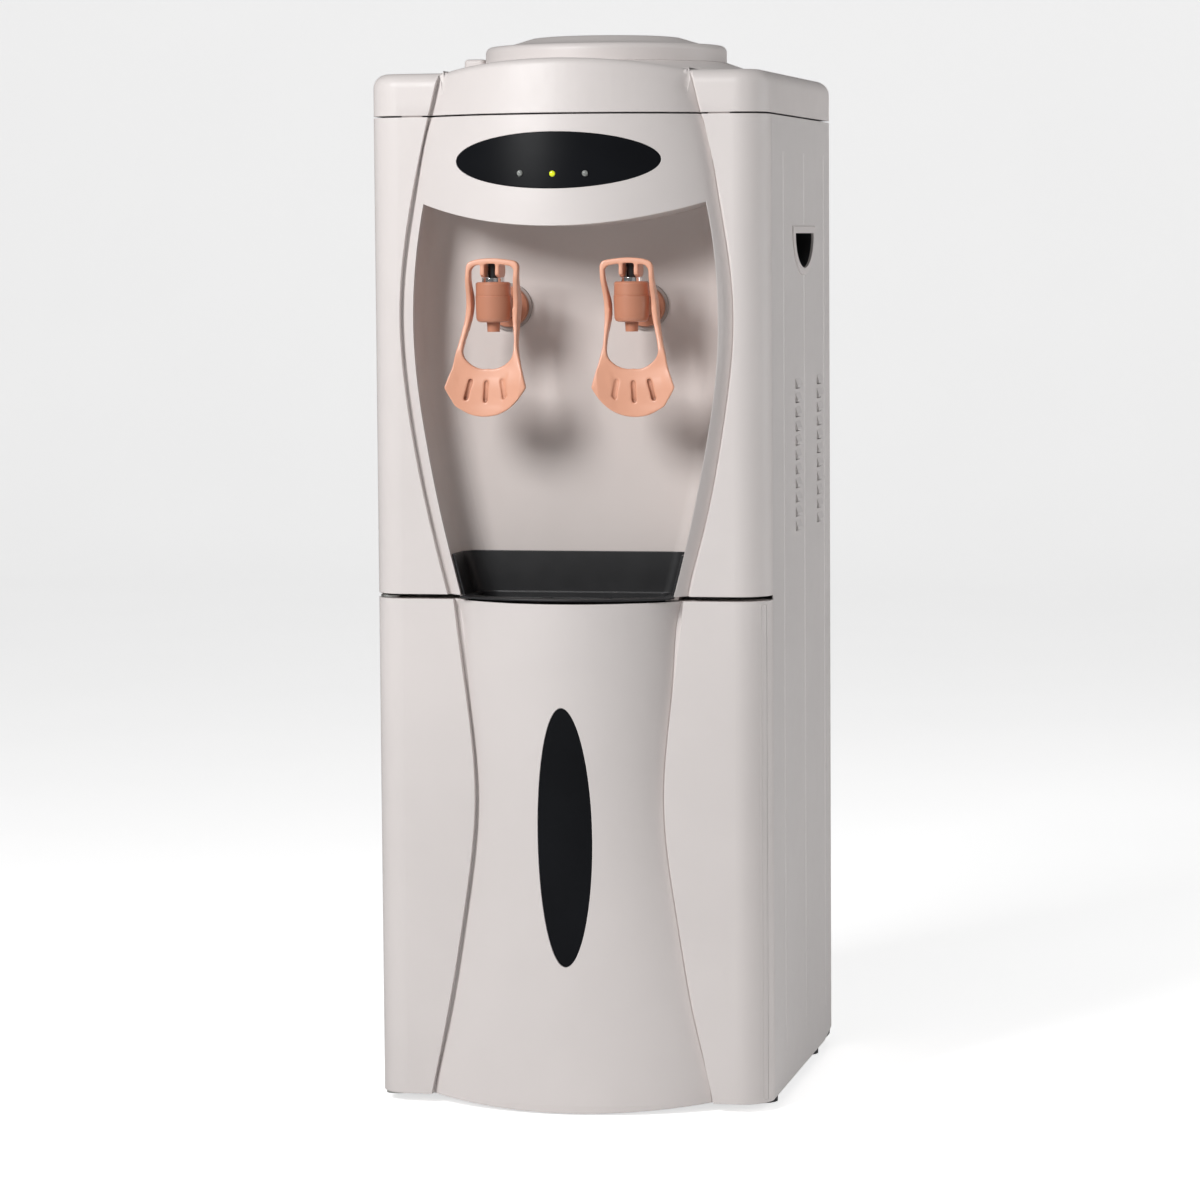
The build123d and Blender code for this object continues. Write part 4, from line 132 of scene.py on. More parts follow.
class CoolerStudio(PropertyGroup):
    """Camera, lights and floor."""

    camera_place: FloatVectorProperty(
        name="Camera place", description="Where the camera stands", default=(0.77518, -3.68541, 0.73697),
        size=3, subtype="XYZ", unit="LENGTH",
    )
    turn: FloatProperty(
        name="Turn", description="How far the camera looks to the left", default=math.radians(11.932),
        subtype="ANGLE",
    )
    tilt: FloatProperty(
        name="Tilt", description="How far the camera looks down", default=math.radians(4.797), subtype="ANGLE"
    )
    roll: FloatProperty(
        name="Roll", description="Lean of the camera", default=math.radians(-0.4145), subtype="ANGLE"
    )
    lens: FloatProperty(name="Lens", description="Focal length in millimetres", default=129.566, min=1)
    key_power: FloatProperty(name="Key power", description="Soft lamp at the upper left", default=52, unit="POWER")
    fill_power: FloatProperty(
        name="Fill power", description="Broad lamp at the front right", default=1.6, unit="POWER"
    )
    side_power: FloatProperty(
        name="Side power", description="Broad lamp for the right side", default=31, unit="POWER"
    )
    sky: FloatProperty(name="Sky", description="Even light from all round", default=0.11, min=0)
    floor: colour_setting("Floor", "Pale floor and backdrop", (0.93, 0.93, 0.93))
    floor_glow: FloatProperty(name="Floor glow", description="Lift of the backdrop's white", default=0.72, min=0)


# ======================================================================================
# Node helpers and shared effects
# ======================================================================================


def add_node(tree, kind, at=(0, 0), **values):
    """Adds a node; values are its settings, or its inputs where the name is a socket's."""
    node = tree.nodes.new(kind)
    node.location = at
    for name, value in values.items():
        if name in node.bl_rna.properties:
            setattr(node, name, value)
        else:
            node.inputs[name.replace("_", " ")].default_value = value
    return node


def new_effect(name, inputs, outputs):
    """A shader node group with its sockets, and its two end nodes."""
    tree = bpy.data.node_groups.new(name, "ShaderNodeTree")
    for label, kind, default in inputs:
        socket = tree.interface.new_socket(label, in_out="INPUT", socket_type=kind)
        if default is not None:
            socket.default_value = default
    for label, kind in outputs:
        tree.interface.new_socket(label, in_out="OUTPUT", socket_type=kind)
    start = add_node(tree, "NodeGroupInput", (-900, 0))
    end = add_node(tree, "NodeGroupOutput", (600, 0))
    return tree, start, end


def maths(tree, operation, first, second, at=(0, 0)):
    """A Math node; first and second are sockets or numbers."""
    node = add_node(tree, "ShaderNodeMath", at, operation=operation)
    for socket, value in zip(node.inputs, (first, second)):
        if isinstance(value, (int, float)):
            socket.default_value = value
        else:
            tree.links.new(value, socket)
    return node.outputs[0]


def spread(tree, value, low, high, to_low, to_high, at=(0, 0)):
    """A Map Range node from low..high to to_low..to_high."""
    node = add_node(tree, "ShaderNodeMapRange", at)
    tree.links.new(value, node.inputs["Value"])
    for label, number in (("From Min", low), ("From Max", high), ("To Min", to_low), ("To Max", to_high)):
        if isinstance(number, (int, float)):
            node.inputs[label].default_value = number
        else:
            tree.links.new(number, node.inputs[label])
    return node.outputs["Result"]


def noise(tree, vector, scale, detail, at=(0, 0), roughness=0.5):
    """The Fac of a Noise texture; scale is a socket or a number."""
    node = add_node(tree, "ShaderNodeTexNoise", at, Detail=detail, Roughness=roughness)
    tree.links.new(vector, node.inputs["Vector"])
    if isinstance(scale, (int, float)):
        node.inputs["Scale"].default_value = scale
    else:
        tree.links.new(scale, node.inputs["Scale"])
    return node.outputs["Fac"]


def moulded_skin():
    """Fine spark-eroded grain, slow sink marks and a faint drift of tone."""
    tree, start, end = new_effect(
        "Moulded Skin",
        [
            ("Vector", "NodeSocketVector", None),
            ("Grain Scale", "NodeSocketFloat", 1400.0),
            ("Drift Scale", "NodeSocketFloat", 5.0),
            ("Sink", "NodeSocketFloat", 0.35),
        ],
        [("Height", "NodeSocketFloat"), ("Drift", "NodeSocketFloat"), ("Gloss Change", "NodeSocketFloat")],
    )
    vector = start.outputs["Vector"]
    grain = noise(tree, vector, start.outputs["Grain Scale"], 3, (-600, 200), 0.6)
    sink = noise(tree, vector, 14, 2, (-600, 0))
    drift = noise(tree, vector, start.outputs["Drift Scale"], 3, (-600, -200))
    smudge = noise(tree, vector, 38, 5, (-600, -400), 0.62)
    height = maths(tree, "ADD", grain, maths(tree, "MULTIPLY", sink, start.outputs["Sink"], (-300, 0)), (0, 100))
    tree.links.new(height, end.inputs["Height"])
    tree.links.new(spread(tree, drift, 0.3, 0.7, 0, 1, (0, -200)), end.inputs["Drift"])
    tree.links.new(spread(tree, smudge, 0.42, 0.68, 0, 1, (0, -400)), end.inputs["Gloss Change"])
    return tree


def edge_light():
    """Rounds sharp corners in the shading, and marks where they are for lighter edges: wear and painted highlight.
    """
    tree, start, end = new_effect(
        "Edge Light",
        [("Radius", "NodeSocketFloat", 0.001), ("Reach", "NodeSocketFloat", 0.06)],
        [("Normal", "NodeSocketVector"), ("Edge", "NodeSocketFloat")],
    )
    bevel = add_node(tree, "ShaderNodeBevel", (-600, 0), samples=6)
    tree.links.new(start.outputs["Radius"], bevel.inputs["Radius"])
    shape = add_node(tree, "ShaderNodeNewGeometry", (-600, -250))
    compare = add_node(tree, "ShaderNodeVectorMath", (-350, -100), operation="DOT_PRODUCT")
    tree.links.new(bevel.outputs["Normal"], compare.inputs[0])
    tree.links.new(shape.outputs["Normal"], compare.inputs[1])
    bend = maths(tree, "SUBTRACT", 1.0, compare.outputs["Value"], (-150, -100))
    tree.links.new(bevel.outputs["Normal"], end.inputs["Normal"])
    tree.links.new(spread(tree, bend, 0.004, start.outputs["Reach"], 0, 1, (100, -100)), end.inputs["Edge"])
    return tree


def settled_dust():
    """A thin, patchy veil on faces that look up."""
    tree, start, end = new_effect(
        "Settled Dust",
        [("Vector", "NodeSocketVector", None), ("Amount", "NodeSocketFloat", 0.2)],
        [("Dust", "NodeSocketFloat")],
    )
    shape = add_node(tree, "ShaderNodeNewGeometry", (-700, 0))
    parts = add_node(tree, "ShaderNodeSeparateXYZ", (-500, 0))
    tree.links.new(shape.outputs["Normal"], parts.inputs[0])
    upward = spread(tree, parts.outputs["Z"], 0.55, 1.0, 0, 1, (-300, 0))
    patch = noise(tree, start.outputs["Vector"], 55, 6, (-500, -250), 0.7)
    veil = maths(tree, "MULTIPLY", upward, spread(tree, patch, 0.35, 0.75, 0.3, 1, (-300, -250)), (-50, 0))
    tree.links.new(maths(tree, "MULTIPLY", veil, start.outputs["Amount"], (200, 0)), end.inputs["Dust"])
    return tree


def brushed_lines():
    """Long fine scratches along one axis."""
    tree, start, end = new_effect(
        "Brushed Lines",
        [("Vector", "NodeSocketVector", None), ("Stretch", "NodeSocketVector", (1, 1, 60))],
        [("Height", "NodeSocketFloat"), ("Tone", "NodeSocketFloat")],
    )
    scale = add_node(tree, "ShaderNodeVectorMath", (-650, 0), operation="MULTIPLY")
    tree.links.new(start.outputs["Vector"], scale.inputs[0])
    tree.links.new(start.outputs["Stretch"], scale.inputs[1])
    fine = noise(tree, scale.outputs["Vector"], 90, 5, (-400, 100), 0.7)
    broad = noise(tree, scale.outputs["Vector"], 16, 2, (-400, -150))
    tree.links.new(fine, end.inputs["Height"])
    tone = maths(tree, "ADD", maths(tree, "MULTIPLY", fine, 0.6), maths(tree, "MULTIPLY", broad, 0.4))
    tree.links.new(tone, end.inputs["Tone"])
    return tree


def pressed_beads():
    """Round cells of moulded foam, or the peel of a powder coat."""
    tree, start, end = new_effect(
        "Pressed Beads",
        [("Vector", "NodeSocketVector", None), ("Cell Scale", "NodeSocketFloat", 260.0)],
        [("Height", "NodeSocketFloat"), ("Cell Tone", "NodeSocketFloat")],
    )
    cells = add_node(tree, "ShaderNodeTexVoronoi", (-500, 0), feature="SMOOTH_F1")
    tree.links.new(start.outputs["Vector"], cells.inputs["Vector"])
    tree.links.new(start.outputs["Cell Scale"], cells.inputs["Scale"])
    tint = add_node(tree, "ShaderNodeSeparateColor", (-250, -200))
    tree.links.new(cells.outputs["Color"], tint.inputs[0])
    tree.links.new(maths(tree, "SUBTRACT", 1.0, cells.outputs["Distance"], (-250, 0)), end.inputs["Height"])
    tree.links.new(tint.outputs[0], end.inputs["Cell Tone"])
    return tree


def crease_shade():
    """Masks narrow creases and hollows by ambient occlusion, for painted shade where little light reaches."""
    tree, start, end = new_effect(
        "Crease Shade",
        [("Reach", "NodeSocketFloat", 0.004), ("Strength", "NodeSocketFloat", 0.8)],
        [("Crease", "NodeSocketFloat")],
    )
    crease_shade_node = add_node(tree, "ShaderNodeAmbientOcclusion", (-600, 0), samples=8, only_local=True)
    tree.links.new(start.outputs["Reach"], crease_shade_node.inputs["Distance"])
    closed = maths(tree, "SUBTRACT", 1.0, crease_shade_node.outputs["AO"], (-350, 0))
    deep = spread(tree, closed, 0.12, 0.6, 0, 1, (-100, 0))
    tree.links.new(maths(tree, "MULTIPLY", deep, start.outputs["Strength"], (200, 0)), end.inputs["Crease"])
    return tree


EFFECTS = {}


def effect(name):
    """The shared group of that name, built the first time."""
    builders = {
        "Moulded Skin": moulded_skin,
        "Edge Light": edge_light,
        "Settled Dust": settled_dust,
        "Brushed Lines": brushed_lines,
        "Pressed Beads": pressed_beads,
        "Crease Shade": crease_shade,
    }
    if name not in EFFECTS:
        EFFECTS[name] = builders[name]()
    return EFFECTS[name]


def place_effect(tree, name, at, vector=None, **values):
    """A shared group placed in a material with its own values."""
    node = tree.nodes.new("ShaderNodeGroup")
    node.node_tree = effect(name)
    node.location = at
    for label, value in values.items():
        node.inputs[label.replace("_", " ")].default_value = value
    if vector is not None:
        tree.links.new(vector, node.inputs["Vector"])
    return node


# ======================================================================================
# Finishes
# ======================================================================================


def start_finish(name):
    """A new node material with its shader and the object's coordinates."""
    material = bpy.data.materials.new(name)
    material.use_nodes = True
    tree = material.node_tree
    shader = next(n for n in tree.nodes if n.bl_idname == "ShaderNodeBsdfPrincipled")
    shader.location = (500, 0)
    coords = add_node(tree, "ShaderNodeTexCoord", (-1300, 0))
    return material, tree, shader, coords.outputs["Object"]


def two_tone(tree, factor, first, second, at):
    """A colour between two, or between a socket's colour and one, by a mask."""
    node = add_node(tree, "ShaderNodeMix", at, data_type="RGBA")
    tree.links.new(factor, node.inputs[0])
    for socket, colour in ((node.inputs[6], first), (node.inputs[7], second)):
        if isinstance(colour, bpy.types.NodeSocket):
            tree.links.new(colour, socket)
        else:
            socket.default_value = (*colour, 1)
    return node.outputs[2]


def shade(colour, share):
    """A colour made darker or lighter by a share of itself."""
    return tuple(min(1.0, channel * share) for channel in colour)


def give_bump(tree, shader, height, distance, normal=None):
    """Relief from a height, over the rounded normal where there is one."""
    bump = add_node(tree, "ShaderNodeBump", (250, -300), Strength=1.0, Distance=distance)
    tree.links.new(height, bump.inputs["Height"])
    if normal is not None:
        tree.links.new(normal, bump.inputs["Normal"])
    tree.links.new(bump.outputs["Normal"], shader.inputs["Normal"])


def moulding(
    name, colour, roughness, settings, coat=0.0, dust=0.0, edge=1.0, grain=1.0, drift=0.05, edge_wear_and_highlight=1.06, painted_crease_shade=None
):
    """A moulded plastic: drift of tone, grain, softened edges painted slightly brighter as wear and painted
    highlight.
    """
    material, tree, shader, place = start_finish(name)
    skin = place_effect(tree, "Moulded Skin", (-900, 200), place)
    soft = place_effect(tree, "Edge Light", (-900, -300), Radius=settings.edge_radius * edge)
    darker, lighter = shade(colour, 1 - drift), shade(colour, 1 + drift / 2)
    tone = two_tone(tree, skin.outputs["Drift"], darker, lighter, (-600, 200))
    # Edges painted lighter: wear and painted highlight.
    tone = two_tone(tree, soft.outputs["Edge"], tone, shade(colour, edge_wear_and_highlight), (-300, 200))
    if dust:
        veil = place_effect(tree, "Settled Dust", (-900, -550), place, Amount=dust)
        tone = two_tone(tree, veil.outputs["Dust"], tone, (0.52, 0.49, 0.46), (0, 200))
    # Painted shade: creases and hollows are darkened towards the crease colour.
    if painted_crease_shade:
        crease_shade_node = place_effect(tree, "Crease Shade", (-900, -750))
        tone = two_tone(tree, crease_shade_node.outputs["Crease"], tone, painted_crease_shade, (150, 200))
    tree.links.new(tone, shader.inputs["Base Color"])
    tree.links.new(
        spread(tree, skin.outputs["Gloss Change"], 0, 1, roughness - 0.03, roughness + 0.05, (0, 0)),
        shader.inputs["Roughness"],
    )
    shader.inputs["Coat Weight"].default_value = coat
    shader.inputs["Coat Roughness"].default_value = 0.12
    give_bump(tree, shader, skin.outputs["Height"], settings.grain * grain, soft.outputs["Normal"])
    return material


def grip_with_shaded_pocket(name, colour, pocket_shade_colour, pocket_x, settings):
    """The cover's moulding, painted black as shade in the pocket behind the grip's face."""
    material = moulding(name, colour, COVER_ROUGHNESS, settings, dust=COVER_DUST)
    tree = material.node_tree
    shader = next(n for n in tree.nodes if n.bl_idname == "ShaderNodeBsdfPrincipled")
    tone = shader.inputs["Base Color"].links[0].from_socket
    place = next(n for n in tree.nodes if n.bl_idname == "ShaderNodeTexCoord")
    parts = add_node(tree, "ShaderNodeSeparateXYZ", (-900, 450))
    tree.links.new(place.outputs["Object"], parts.inputs[0])
    out = maths(tree, "ABSOLUTE", parts.outputs["X"], 0, (-700, 450))
    # Painted shade: everything deeper than the grip's wall is coloured black.
    in_shaded_pocket = maths(tree, "LESS_THAN", out, pocket_x, (-500, 450))
    tree.links.new(two_tone(tree, in_shaded_pocket, tone, pocket_shade_colour, (300, 200)), shader.inputs["Base Color"])
    return material


def powder_coat(name, colour, settings):
    """Painted sheet steel with a fine orange peel."""
    material, tree, shader, place = start_finish(name)
    peel = place_effect(tree, "Pressed Beads", (-900, 200), place, Cell_Scale=820.0)
    skin = place_effect(tree, "Moulded Skin", (-900, 0), place, Grain_Scale=300.0, Drift_Scale=3.5)
    soft = place_effect(tree, "Edge Light", (-900, -300), Radius=settings.edge_radius * 0.7)
    tone = two_tone(tree, skin.outputs["Drift"], shade(colour, 0.975), shade(colour, 1.015), (-600, 200))
    # Edges painted a little lighter: wear and painted highlight.
    tone = two_tone(tree, soft.outputs["Edge"], tone, shade(colour, 1.05), (-300, 200))
    tree.links.new(tone, shader.inputs["Base Color"])
    tree.links.new(
        spread(tree, skin.outputs["Gloss Change"], 0, 1, 0.40, 0.48, (0, 0)), shader.inputs["Roughness"]
    )
    height = maths(tree, "ADD", peel.outputs["Height"], skin.outputs["Height"], (0, -300))
    give_bump(tree, shader, height, settings.grain, soft.outputs["Normal"])
    return material


def bare_metal(name, colour, roughness, settings, stretch=(60, 60, 1), relief=0.5):
    """Brushed, rolled or polished metal."""
    material, tree, shader, place = start_finish(name)
    lines = place_effect(tree, "Brushed Lines", (-900, 200), place, Stretch=stretch)
    soft = place_effect(tree, "Edge Light", (-900, -300), Radius=settings.edge_radius * 0.5)
    tone = two_tone(tree, lines.outputs["Tone"], shade(colour, 0.86), shade(colour, 1.08), (-600, 200))
    tree.links.new(tone, shader.inputs["Base Color"])
    tree.links.new(
        spread(tree, lines.outputs["Tone"], 0.3, 0.7, roughness * 0.75, roughness * 1.3, (0, 0)),
        shader.inputs["Roughness"],
    )
    shader.inputs["Metallic"].default_value = 1.0
    give_bump(tree, shader, lines.outputs["Height"], settings.grain * relief, soft.outputs["Normal"])
    return material


def gloss_pane(name, colour, settings):
    """Polished dark pane with a soft haze of handling."""
    material, tree, shader, place = start_finish(name)
    skin = place_effect(tree, "Moulded Skin", (-900, 200), place, Drift_Scale=9.0, Sink=1.0)
    soft = place_effect(tree, "Edge Light", (-900, -300), Radius=settings.edge_radius)
    tone = two_tone(tree, skin.outputs["Drift"], shade(colour, 0.8), shade(colour, 1.25), (-600, 200))
    # Edges painted much lighter: a painted rim highlight on the dark pane.
    tone = two_tone(tree, soft.outputs["Edge"], tone, shade(colour, 2.2), (-300, 200))
    tree.links.new(tone, shader.inputs["Base Color"])
    tree.links.new(
        spread(tree, skin.outputs["Gloss Change"], 0, 1, 0.32, 0.35, (0, 0)), shader.inputs["Roughness"]
    )
    shader.inputs["Specular IOR Level"].default_value = 0.07
    give_bump(tree, shader, skin.outputs["Height"], settings.grain * 0.25, soft.outputs["Normal"])
    return material


def foam_finish(name, colour, settings):
    """Moulded bead foam."""
    material, tree, shader, place = start_finish(name)
    beads = place_effect(tree, "Pressed Beads", (-900, 200), place, Cell_Scale=300.0)
    tone = two_tone(tree, beads.outputs["Cell Tone"], shade(colour, 0.9), shade(colour, 1.04), (-600, 200))
    tree.links.new(tone, shader.inputs["Base Color"])
    tree.links.new(
        spread(tree, beads.outputs["Cell Tone"], 0, 1, 0.75, 0.92, (0, 0)), shader.inputs["Roughness"]
    )
    give_bump(tree, shader, beads.outputs["Height"], 0.0009)
    return material


def milky_hose(name, colour, settings):
    """Soft silicone that glows a little where light passes through it."""
    material = moulding(name, colour, 0.34, settings, grain=1.5, drift=0.08)
    shader = next(n for n in material.node_tree.nodes if n.bl_idname == "ShaderNodeBsdfPrincipled")
    shader.inputs["Subsurface Weight"].default_value = 0.35
    shader.inputs["Subsurface Radius"].default_value = (0.004, 0.0035, 0.003)
    return material


def circuit_board(name, colour, settings):
    """Green lacquered board with paler tracks."""
    material, tree, shader, place = start_finish(name)
    tracks = add_node(tree, "ShaderNodeTexBrick", (-900, 200), Scale=150.0, Mortar_Size=0.05)
    tree.links.new(place, tracks.inputs["Vector"])
    skin = place_effect(tree, "Moulded Skin", (-900, -100), place)
    base = two_tone(tree, skin.outputs["Drift"], shade(colour, 0.85), shade(colour, 1.15), (-600, 100))
    tone = two_tone(tree, tracks.outputs["Fac"], base, shade(colour, 2.1), (-300, 200))
    tree.links.new(tone, shader.inputs["Base Color"])
    tree.links.new(spread(tree, tracks.outputs["Fac"], 0, 1, 0.34, 0.22, (0, 0)), shader.inputs["Roughness"])
    give_bump(tree, shader, tracks.outputs["Fac"], 0.00006)
    return material


def light_lens(name, colour, glow, settings):
    """A small tinted lens with a drift of tone, glowing in its own colour where it has a glow."""
    material, tree, shader, place = start_finish(name)
    skin = place_effect(tree, "Moulded Skin", (-900, 200), place, Grain_Scale=2600.0, Drift_Scale=420.0)
    tone = two_tone(tree, skin.outputs["Drift"], shade(colour, 0.72), shade(colour, 1.2), (-600, 200))
    tree.links.new(tone, shader.inputs["Base Color"])
    tree.links.new(
        spread(tree, skin.outputs["Gloss Change"], 0, 1, 0.16, 0.3, (0, 0)), shader.inputs["Roughness"]
    )
    give_bump(tree, shader, skin.outputs["Height"], settings.grain)
    if glow:
        tree.links.new(tone, shader.inputs["Emission Color"])
        shader.inputs["Emission Strength"].default_value = glow
    return material


FINISHES = {}


def finish(slot):
    """The finish for a material slot of the record, made the first time that it is asked for."""
    s = bpy.context.scene.cooler_finishes
    makers = {
        "cover": lambda: moulding("Cover Moulding", s.cover, COVER_ROUGHNESS, s, dust=COVER_DUST),
        # Painted shade: the recess takes a darker, warmer copy of the cover's white.
        "recess": lambda: moulding("Recess Moulding In Painted Shade", s.recess, 0.40, s, coat=0.08, drift=0.06),
        "casing": lambda: powder_coat("Casing Powder Coat", s.casing, s),
        "black_gloss": lambda: gloss_pane("Black Gloss Pane", (0.0065, 0.007, 0.0085), s),
        "black_plastic": lambda: moulding(
            "Black Satin Moulding", s.black, 0.40, s, edge_wear_and_highlight=1.9, drift=0.2, grain=1.6
        ),
        # Shaded and lit copies of one peach plastic: painted shade on the taps, painted light on the levers.
        "tap": lambda: moulding(
            "Peach Moulding Painted In Shade", s.tap, 0.38, s, coat=0.1, edge_wear_and_highlight=1.2, edge=0.9, painted_crease_shade=s.painted_crease_shade
        ),
        "lever": lambda: moulding(
            "Peach Moulding Painted In Light", s.lever, 0.38, s, coat=0.1, edge_wear_and_highlight=1.2, edge=0.9, painted_crease_shade=s.painted_crease_shade
        ),
        "red_light": lambda: light_lens("Lit Light Lens", s.lit, 0.35, s),
        "dark_light": lambda: light_lens("Unlit Light Lens", (0.24, 0.25, 0.24), 0, s),
        "chrome": lambda: bare_metal("Polished Chrome", (0.93, 0.92, 0.92), 0.16, s, relief=0.08),
        "grip": lambda: grip_with_shaded_pocket("Grip Moulding With Painted Pocket Shade", s.cover, s.black, GRIP_FACE - GRIP_WALL, s),
        # Painted shade: the seal is coloured as dark as the shaded recess around it.
        "wall_seal": lambda: moulding("Wall Seal In Painted Shade", (0.36, 0.31, 0.29), 0.45, s),
        "steel": lambda: bare_metal("Zinc Plated Steel", (0.52, 0.52, 0.5), 0.34, s, stretch=(1, 40, 40)),
        "stainless": lambda: bare_metal("Brushed Stainless", (0.6, 0.6, 0.59), 0.26, s, stretch=(1, 1, 60)),
        "liner": lambda: moulding("Liner Moulding", (0.62, 0.6, 0.57), 0.5, s),
        "foam": lambda: foam_finish("Insulating Foam", (0.78, 0.77, 0.74), s),
        "silicone": lambda: milky_hose("Milky Silicone", (0.74, 0.72, 0.66), s),
        "rubber": lambda: moulding("Black Rubber", (0.02, 0.02, 0.02), 0.62, s, grain=3, drift=0.25, edge_wear_and_highlight=1.6),
        "board": lambda: circuit_board("Lacquered Board", (0.012, 0.075, 0.026), s),
        "aluminium": lambda: bare_metal("Extruded Aluminium", (0.68, 0.68, 0.69), 0.3, s, stretch=(60, 60, 1)),
        "switch_red": lambda: light_lens("Red Rocker", (0.42, 0.012, 0.008), 0, s),
        "switch_green": lambda: light_lens("Green Rocker", (0.01, 0.16, 0.035), 0, s),
    }
    if slot not in FINISHES:
        FINISHES[slot] = makers[slot]()
    return FINISHES[slot]


SLOT_OF = {part["node"]: part["material_slot"] for part in frame["record"]["subparts"]}


def dress_in(finish_name, *names):
    """Gives nodes of the frame a finish of that name."""
    for name in names:
        for slot in NODES[name].material_slots:
            slot.material = finish(finish_name)


def dress(*names):
    """Gives nodes of the frame the finish that the record names for them."""
    for name in names:
        dress_in(SLOT_OF[name], name)


# ======================================================================================
# Modelling helpers
# ======================================================================================


def finish_piece(mesh_data, name, body, slot, stands_for=()):
    """Makes the object of a finished mesh, dresses it and seats it on its body."""
    mesh = bpy.data.meshes.new(name)
    mesh_data.to_mesh(mesh)
    mesh_data.free()
    for face in mesh.polygons:
        face.use_smooth = True
    mesh.materials.append(finish(slot))
    piece = bpy.data.objects.new(name, mesh)
    bpy.context.scene.collection.objects.link(piece)
    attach(piece, body)
    if stands_for:
        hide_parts(*stands_for)
    return piece


def ramp(value, low, high):
    """Rises smoothly from 0 at low to 1 at high."""
    share = min(1.0, max(0.0, (value - low) / (high - low)))
    return share * share * (3 - 2 * share)


def cut_across(shape, axis, places):
    """Cuts the faces along planes across an axis, so that they can bend there."""
    for place in places:
        point = Vector((0, 0, 0))
        point[axis] = place
        across = Vector((0, 0, 0))
        across[axis] = 1
        whole = shape.verts[:] + shape.edges[:] + shape.faces[:]
        bmesh.ops.bisect_plane(shape, geom=whole, dist=1e-6, plane_co=point, plane_no=across)


def keep_creases(piece, angle=math.radians(28)):
    """Shades a piece smoothly up to its sharp edges, led by its large faces."""
    piece.data.set_sharp_from_angle(angle=angle)
    even = piece.modifiers.new("Even shading", "WEIGHTED_NORMAL")
    even.keep_sharp = True
    even.weight = 80


def spun(profile, centre, steps=192):
    """A bmesh turned from a closed profile of (radius, height) about an upright axis."""
    turned = bmesh.new()
    ring = [turned.verts.new((centre[0] + radius, centre[1], z)) for radius, z in profile]
    edges = [turned.edges.new(pair) for pair in zip(ring, ring[1:] + ring[:1])]
    bmesh.ops.spin(
        turned, geom=ring + edges, cent=(centre[0], centre[1], 0), axis=(0, 0, 1), angle=2 * math.pi, steps=steps,
        use_merge=True, use_duplicate=False,
    )
    bmesh.ops.remove_doubles(turned, verts=turned.verts, dist=1e-6)
    bmesh.ops.recalc_face_normals(turned, faces=turned.faces)
    return turned


def rounded_ring(shape, centre, radius, z, offset, segments=5):
    """Bevels the circular edge that lies at one radius and height."""
    edges = [
        edge for edge in shape.edges
        if all(
            abs(math.hypot(v.co.x - centre[0], v.co.y - centre[1]) - radius) < 1e-5 and abs(v.co.z - z) < 1e-5
            for v in edge.verts
        )
    ]
    if not edges:
        raise RuntimeError(f"no edge at radius {radius} and height {z}")
    bmesh.ops.bevel(
        shape, geom=edges, offset=offset, segments=segments, profile=0.5, affect="EDGES", material=-1
    )


def merged_copy(node_name):
    """A bmesh copy of a node of the frame, with its loose triangles joined."""
    copy = bmesh.new()
    copy.from_mesh(NODES[node_name].data)
    bmesh.ops.remove_doubles(copy, verts=copy.verts, dist=1e-6)
    return copy


# ======================================================================================
# Operators
# ======================================================================================


class COOLER_OT_front_covers(Operator):
    """Finishes the front panel and the hand grips"""

    bl_idname = "cooler.front_covers"
    bl_label = "Front Covers"

    def execute(self, context):
        dress("upper_front_panel")
        dress_in("grip", "left_grip", "right_grip")
        return {"FINISHED"}


